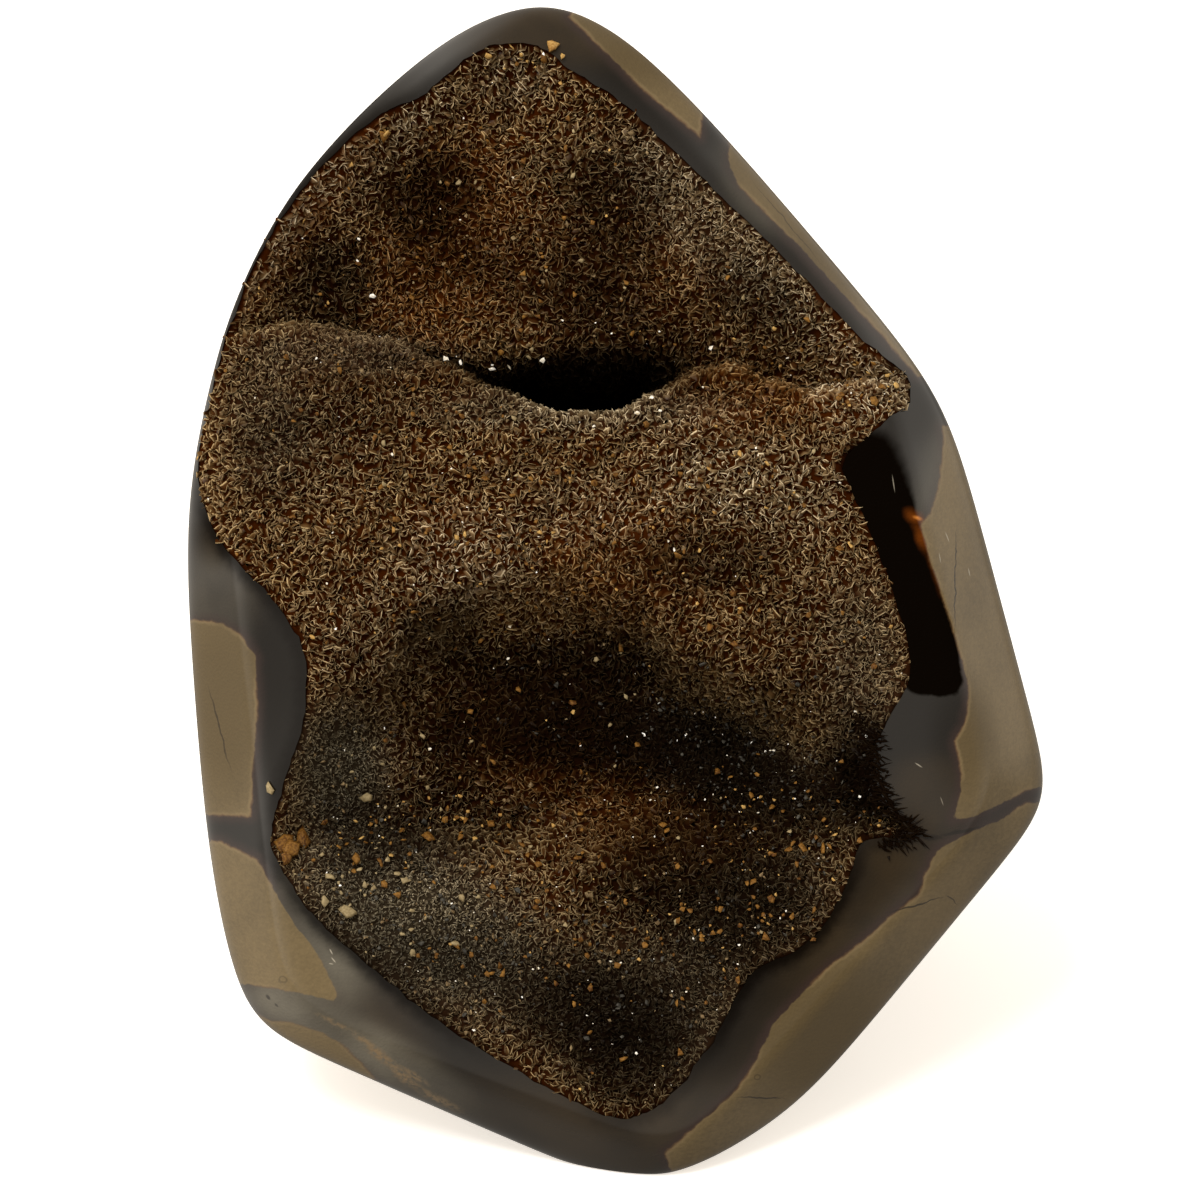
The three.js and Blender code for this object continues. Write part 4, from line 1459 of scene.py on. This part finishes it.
def crystal_material(settings):
    """Brown calcite crystals: dark foot, partly painted shade; thin light ridge line, partly
    painted highlight.
    """
    g = new_material("crystal_druse")
    tip, fleck, facet = (g.attribute(name) for name in ("tip", "fleck", "facet"))
    warm, pale, grey, dark = (g.attribute(name) for name in ("warm", "pale", "grey", "dark"))
    parts = ("foot", "face", "ridge")
    foot, face, ridge = (crust_tone(g, settings, part, warm, grey) for part in parts)
    face = g.blend(pale * 0.6, face, settings.face_pale)
    ridge = g.blend(pale * fleck.between(0.2, 0.9), ridge, settings.ridge_pale)
    # The foot colour is partly painted shade low between the crystals; the ridge line is partly a
    # painted highlight where the edges catch the light.
    base = g.blend(tip.between(0.0, 0.8) * (facet * 0.9 + 0.1), foot, face)
    base = g.blend(tip.between(0.76, 0.94) * (fleck.between(0.1, 0.9) * 0.85 + 0.15), base, ridge)
    # Painted shade: in the dark zones the crystals turn near black.
    base = g.blend(dark * 0.985, base, settings.painted_shade_colour)
    glossy = facet.between(0.86, 0.9) * (1 - dark * 0.8) * 0.9
    return g.finish(
        Base_Color=base, Roughness=0.6, Specular_IOR_Level=0.0,
        Coat_Weight=glossy, Coat_Roughness=0.15,
    )


def grain_material(name, shade, tone, glow):
    """Small grains, each a little lighter or darker than the next, and mottled; sparks glow as
    painted glints.
    """
    g = new_material(name)
    place = g.node("TexCoord", output="Object")
    mottle = g.noise(place, 2200.0, 2.0).between(0.35, 0.65)
    share = g.attribute("fleck") * 0.5 + mottle * 0.5
    base = g.blend(share, shade, tone)
    g.owner.cycles.emission_sampling = "NONE"
    return g.finish(
        Base_Color=base, Roughness=0.4, Specular_IOR_Level=0.2,
        Emission_Color=base, Emission_Strength=glow,
    )


# ------------------------------------------------------------------ stage
FLOOR_HALF = 3.0
FLOOR_DROP = 0.0004  # keeps the floor out of the sawn base
KEY_PLACE = Vector((-0.4, -0.7, 1.3))
KEY_TARGET = Vector((0, 0, 0.1))


def add_camera(scene, settings):
    """Camera square on to the front plane."""
    lens = bpy.data.cameras.new("camera")
    lens.sensor_width = 36
    lens.lens = lens.sensor_width * settings.view_distance / settings.view_width
    scene.camera = bpy.data.objects.new("camera", lens)
    scene.collection.objects.link(scene.camera)
    place = stand_up([[0, 0, settings.view_distance / MM]])[0]
    axes = Matrix(lean_back(np.eye(3)).T.tolist())
    scene.camera.matrix_world = Matrix.Translation(place) @ axes.to_4x4()


def add_floor(settings):
    """Pale floor that lights up a little of itself and shows in no reflection."""
    g = new_material("white_floor")
    white = g.node("BsdfDiffuse", sockets={"Color": as_colour(settings.floor_colour)})
    sockets = {"Color": as_colour(settings.floor_tint), "Strength": settings.floor_glow}
    glow = g.node("Emission", sockets=sockets)
    g.node("OutputMaterial", sockets={"Surface": g.node("AddShader", sockets={0: white, 1: glow})})
    g.owner.cycles.emission_sampling = "NONE"
    corners = np.array([(-1, -1, 0), (1, -1, 0), (1, 1, 0), (-1, 1, 0)]) * FLOOR_HALF
    floor = mesh_of("floor", corners - [0, 0, FLOOR_DROP], np.array([(0, 1, 2, 3)]))
    floor.visible_diffuse = False
    floor.visible_glossy = False
    floor.data.materials.append(g.owner)


def add_key_light(scene, settings):
    """Wide soft light, above and to the left of the viewer."""
    light = bpy.data.lights.new("key", "AREA")
    light.shape = "DISK"
    light.size = settings.key_size
    light.energy = settings.key_power
    key = bpy.data.objects.new("key", light)
    scene.collection.objects.link(key)
    key.visible_glossy = False
    key.location = KEY_PLACE
    key.rotation_euler = (KEY_TARGET - KEY_PLACE).to_track_quat("-Z", "Y").to_euler()


def add_sky(scene, settings):
    """Soft surroundings, brighter at the sides and above."""
    g = Graph(bpy.data.worlds.new("soft_white"))
    scene.world = g.owner
    way = g.node("TexCoord", output="Generated")
    toward_view = (g.part(way, "Y") * -1).between(0.2, 1.0)
    above = g.part(way, "Z").between(-0.08, 0.08)
    toward_left = (g.part(way, "X") * -1).between(0.1, 0.95)
    toward_right = g.part(way, "X").between(0.3, 0.95)
    sides = toward_left * settings.left_light + toward_right * settings.right_light
    strength = settings.sky_strength + sides - toward_view * settings.sky_dip
    strength = strength * (above * 0.5 + 0.5)
    sockets = {"Color": as_colour(settings.sky_colour), "Strength": strength}
    g.node("OutputWorld", sockets={"Surface": g.node("Background", sockets=sockets)})


def build_stage(settings):
    """Camera, floor and lights."""
    scene = bpy.context.scene
    scene.view_settings.view_transform = "Standard"
    add_camera(scene, settings)
    add_floor(settings)
    add_key_light(scene, settings)
    add_sky(scene, settings)


# ------------------------------------------------------------------ add-on
def shade(name, description, default):
    return bpy.props.FloatVectorProperty(
        name=name, description=description, subtype="COLOR", size=3, min=0, max=1, default=default,
    )


def number(name, description, default, **kind):
    return bpy.props.FloatProperty(
        name=name, description=description, default=default, min=0, **kind
    )


def distance(name, description, default):
    return number(name, description, default, subtype="DISTANCE", unit="LENGTH")


class StoneSettings(bpy.types.PropertyGroup):
    limestone_colour: shade("Limestone", "Light tone of the limestone", (0.185, 0.130, 0.058))
    limestone_shade: shade("Limestone shade", "Dark tone of the limestone", (0.105, 0.073, 0.032))
    limestone_edge: shade("Limestone edge", "Limestone beside the calcite", (0.25, 0.18, 0.088))
    calcite_colour: shade("Calcite", "Polished calcite", (0.012, 0.0095, 0.007))
    calcite_brown: shade("Brown calcite", "Browner parts of the calcite", (0.042, 0.028, 0.014))
    # Painted black: the dark reflection on the black calcite, and the shade along the rim of the
    # mouth.
    calcite_painted_dark: shade("Black calcite", "Deepest part of the calcite", (0.003, 0.0018, 0.001))
    calcite_edge: shade("Calcite edge", "Calcite beside the limestone", (0.034, 0.019, 0.015))
    border_colour: shade("Border", "Thin rusty line between the two", (0.13, 0.07, 0.03))
    crack_colour: shade("Cracks", "Hairlines in the polished face", (0.012, 0.008, 0.005))
    calcite_milky: shade("Milky calcite", "Paler, milky calcite", (0.17, 0.15, 0.11))
    strand_colour: shade("Strands", "Tan strands in the calcite", (0.25, 0.165, 0.08))
    # Also the colour of the painted highlight streak by the crown.
    scratch_colour: shade("Scratches", "Fine scratches in the polish", (0.45, 0.40, 0.31))
    # Amber colours: painted glow of light through the clear calcite.
    amber_colour: shade("Amber", "Clear calcite that glows at a corner", (0.25, 0.06, 0.006))
    amber_core: shade("Amber core", "Brightest part of the amber", (0.85, 0.30, 0.05))


class CrustSettings(bpy.types.PropertyGroup):
    seed: bpy.props.IntProperty(
        name="Seed", description="Seed of the random places", default=4, min=0
    )
    spacing: distance("Spacing", "Distance between crystals that stand by themselves", 0.00125)
    net_cell: distance("Net", "Distance across the net of joined crystals", 0.00145)
    length: distance("Length", "Length of a crystal's ridge", 0.0014)
    thickness: distance("Thickness", "Thickness of a crystal at its foot", 0.0008)
    height: distance("Height", "Height of the tallest crystals", 0.0013)
    lean: number(
        "Lean", "Most that a crystal leans from upright", math.radians(48),
        max=math.radians(70), subtype="ANGLE", unit="ROTATION",
    )
    # Painted shade: the near black of the crystals in the dark zones.
    painted_shade_colour: shade("Deep", "Crystals in the dark recesses", (0.004, 0.002, 0.001))
    # The foot colours are partly painted shade low between the crystals.
    foot_colour: shade("Foot", "Foot of a crystal", (0.04, 0.009, 0.001))
    foot_warm: shade("Warm foot", "Foot of a crystal in the redder parts", (0.065, 0.015, 0.0015))
    foot_grey: shade("Grey foot", "Foot of a crystal in the greyer parts", (0.030, 0.026, 0.016))
    face_colour: shade("Face", "Sloping faces of a crystal", (0.16, 0.086, 0.029))
    face_warm: shade("Warm face", "Faces in the redder parts", (0.17, 0.068, 0.014))
    face_grey: shade("Grey face", "Faces in the greyer parts", (0.088, 0.082, 0.056))
    face_pale: shade("Pale face", "Faces in the palest parts", (0.30, 0.215, 0.11))
    # The ridge colours are a thin light line, partly a painted highlight where the edges catch the
    # light.
    ridge_colour: shade("Ridge", "Thin ridge of a crystal", (0.74, 0.52, 0.25))
    ridge_warm: shade("Warm ridge", "Ridge in the redder parts", (0.6, 0.33, 0.12))
    ridge_grey: shade("Grey ridge", "Ridge in the greyer parts", (0.28, 0.26, 0.19))
    ridge_pale: shade("Pale ridge", "Ridge in the palest parts", (0.98, 0.80, 0.52))
    rust_colour: shade("Rust grains", "Light tone of the rusty grains", (0.32, 0.155, 0.03))
    rust_shade: shade("Rust shade", "Dark tone of the rusty grains", (0.06, 0.018, 0.003))
    gold_colour: shade("Gold grains", "Light tone of the golden grains", (0.72, 0.46, 0.15))
    gold_shade: shade("Gold shade", "Dark tone of the golden grains", (0.30, 0.14, 0.03))
    pale_colour: shade("Pale grains", "Light tone of the pale grains", (0.44, 0.34, 0.18))
    pale_shade: shade("Pale grain shade", "Dark tone of the pale grains", (0.22, 0.16, 0.075))
    # Painted glints: the white and the darker tone of the sparks, which also glow.
    sparks_colour: shade("Sparks", "Light tone of the facets that flash", (1.0, 0.97, 0.9))
    sparks_shade: shade("Spark shade", "Dark tone of the facets that flash", (0.44, 0.34, 0.18))
    grey_colour: shade("Facets", "Light tone of the grey facets", (0.11, 0.10, 0.08))
    grey_shade: shade("Facet shade", "Dark tone of the grey facets", (0.012, 0.010, 0.008))
    tan_colour: shade("Shards", "Light tone of the tan shards", (0.34, 0.24, 0.12))
    tan_shade: shade("Shard shade", "Dark tone of the tan shards", (0.06, 0.028, 0.008))


class StageSettings(bpy.types.PropertyGroup):
    view_distance: distance("View distance", "From the camera to the front plane", 0.6)
    view_width: distance("View width", "Width of the view at the front plane", 0.222)
    floor_colour: shade("Floor", "Colour of the floor", (0.9, 0.9, 0.9))
    floor_tint: shade("Floor tint", "Colour of the light that the floor adds", (1.0, 0.93, 0.84))
    floor_glow: number("Floor glow", "Light that the floor adds of itself", 0.65)
    key_power: number("Key light", "Power of the key light", 11, unit="POWER")
    key_size: distance("Key size", "Width of the key light", 0.5)
    sky_colour: shade("Sky colour", "Colour of the surroundings", (1.0, 0.93, 0.83))
    sky_strength: number("Sky", "Brightness of the surroundings", 0.6)
    left_light: number("Left light", "How much brighter the left side is", 1.1)
    right_light: number("Right light", "How much brighter the right side is", 0.4)
    sky_dip: number("Dim front", "How much dimmer the side of the viewer is", 0.05)


class NODULE_OT_stone(bpy.types.Operator):
    """Build the polished stone"""

    bl_idname = "nodule.stone"
    bl_label = "Build Stone"

    def execute(self, context):
        build_stone(context.scene.nodule_stone)
        return {"FINISHED"}


class NODULE_OT_crystals(bpy.types.Operator):
    """Line the hollow with crystals"""

    bl_idname = "nodule.crystals"
    bl_label = "Build Crystals"

    def execute(self, context):
        build_crystals(context.scene.nodule_crust)
        return {"FINISHED"}


class NODULE_OT_grains(bpy.types.Operator):
    """Scatter rusty, pale and flashing grains over the crystals"""

    bl_idname = "nodule.grains"
    bl_label = "Build Grains"

    def execute(self, context):
        build_grains(context.scene.nodule_crust)
        return {"FINISHED"}


class NODULE_OT_stage(bpy.types.Operator):
    """Set up the floor, the lights and the camera"""

    bl_idname = "nodule.stage"
    bl_label = "Set Up Stage"

    def execute(self, context):
        build_stage(context.scene.nodule_stage)
        return {"FINISHED"}


class NODULE_PT_panel(bpy.types.Panel):
    """Sizes, colours and steps of the nodule"""

    bl_label = "Septarian Nodule"
    bl_space_type = "VIEW_3D"
    bl_region_type = "UI"
    bl_category = "Nodule"

    def draw(self, context):
        for name, steps in STEPS.items():
            settings = getattr(context.scene, name)
            box = self.layout.box()
            for step in steps:
                box.operator(step.bl_idname)
            for field in settings.__annotations__:
                box.prop(settings, field)


GROUPS = {
    "nodule_stone": StoneSettings,
    "nodule_crust": CrustSettings,
    "nodule_stage": StageSettings,
}
STEPS = {
    "nodule_stone": (NODULE_OT_stone,),
    "nodule_crust": (NODULE_OT_crystals, NODULE_OT_grains),
    "nodule_stage": (NODULE_OT_stage,),
}
OPERATORS = [step for steps in STEPS.values() for step in steps]
CLASSES = (*GROUPS.values(), *OPERATORS, NODULE_PT_panel)


def register():
    for kind in CLASSES:
        bpy.utils.register_class(kind)
    for name, group in GROUPS.items():
        setattr(bpy.types.Scene, name, bpy.props.PointerProperty(type=group))


def unregister():
    for name in GROUPS:
        delattr(bpy.types.Scene, name)
    for kind in reversed(CLASSES):
        bpy.utils.unregister_class(kind)


def main():
    register()
    bpy.ops.nodule.stone()
    bpy.ops.nodule.crystals()
    bpy.ops.nodule.grains()
    bpy.ops.nodule.stage()


if __name__ == "__main__":
    main()
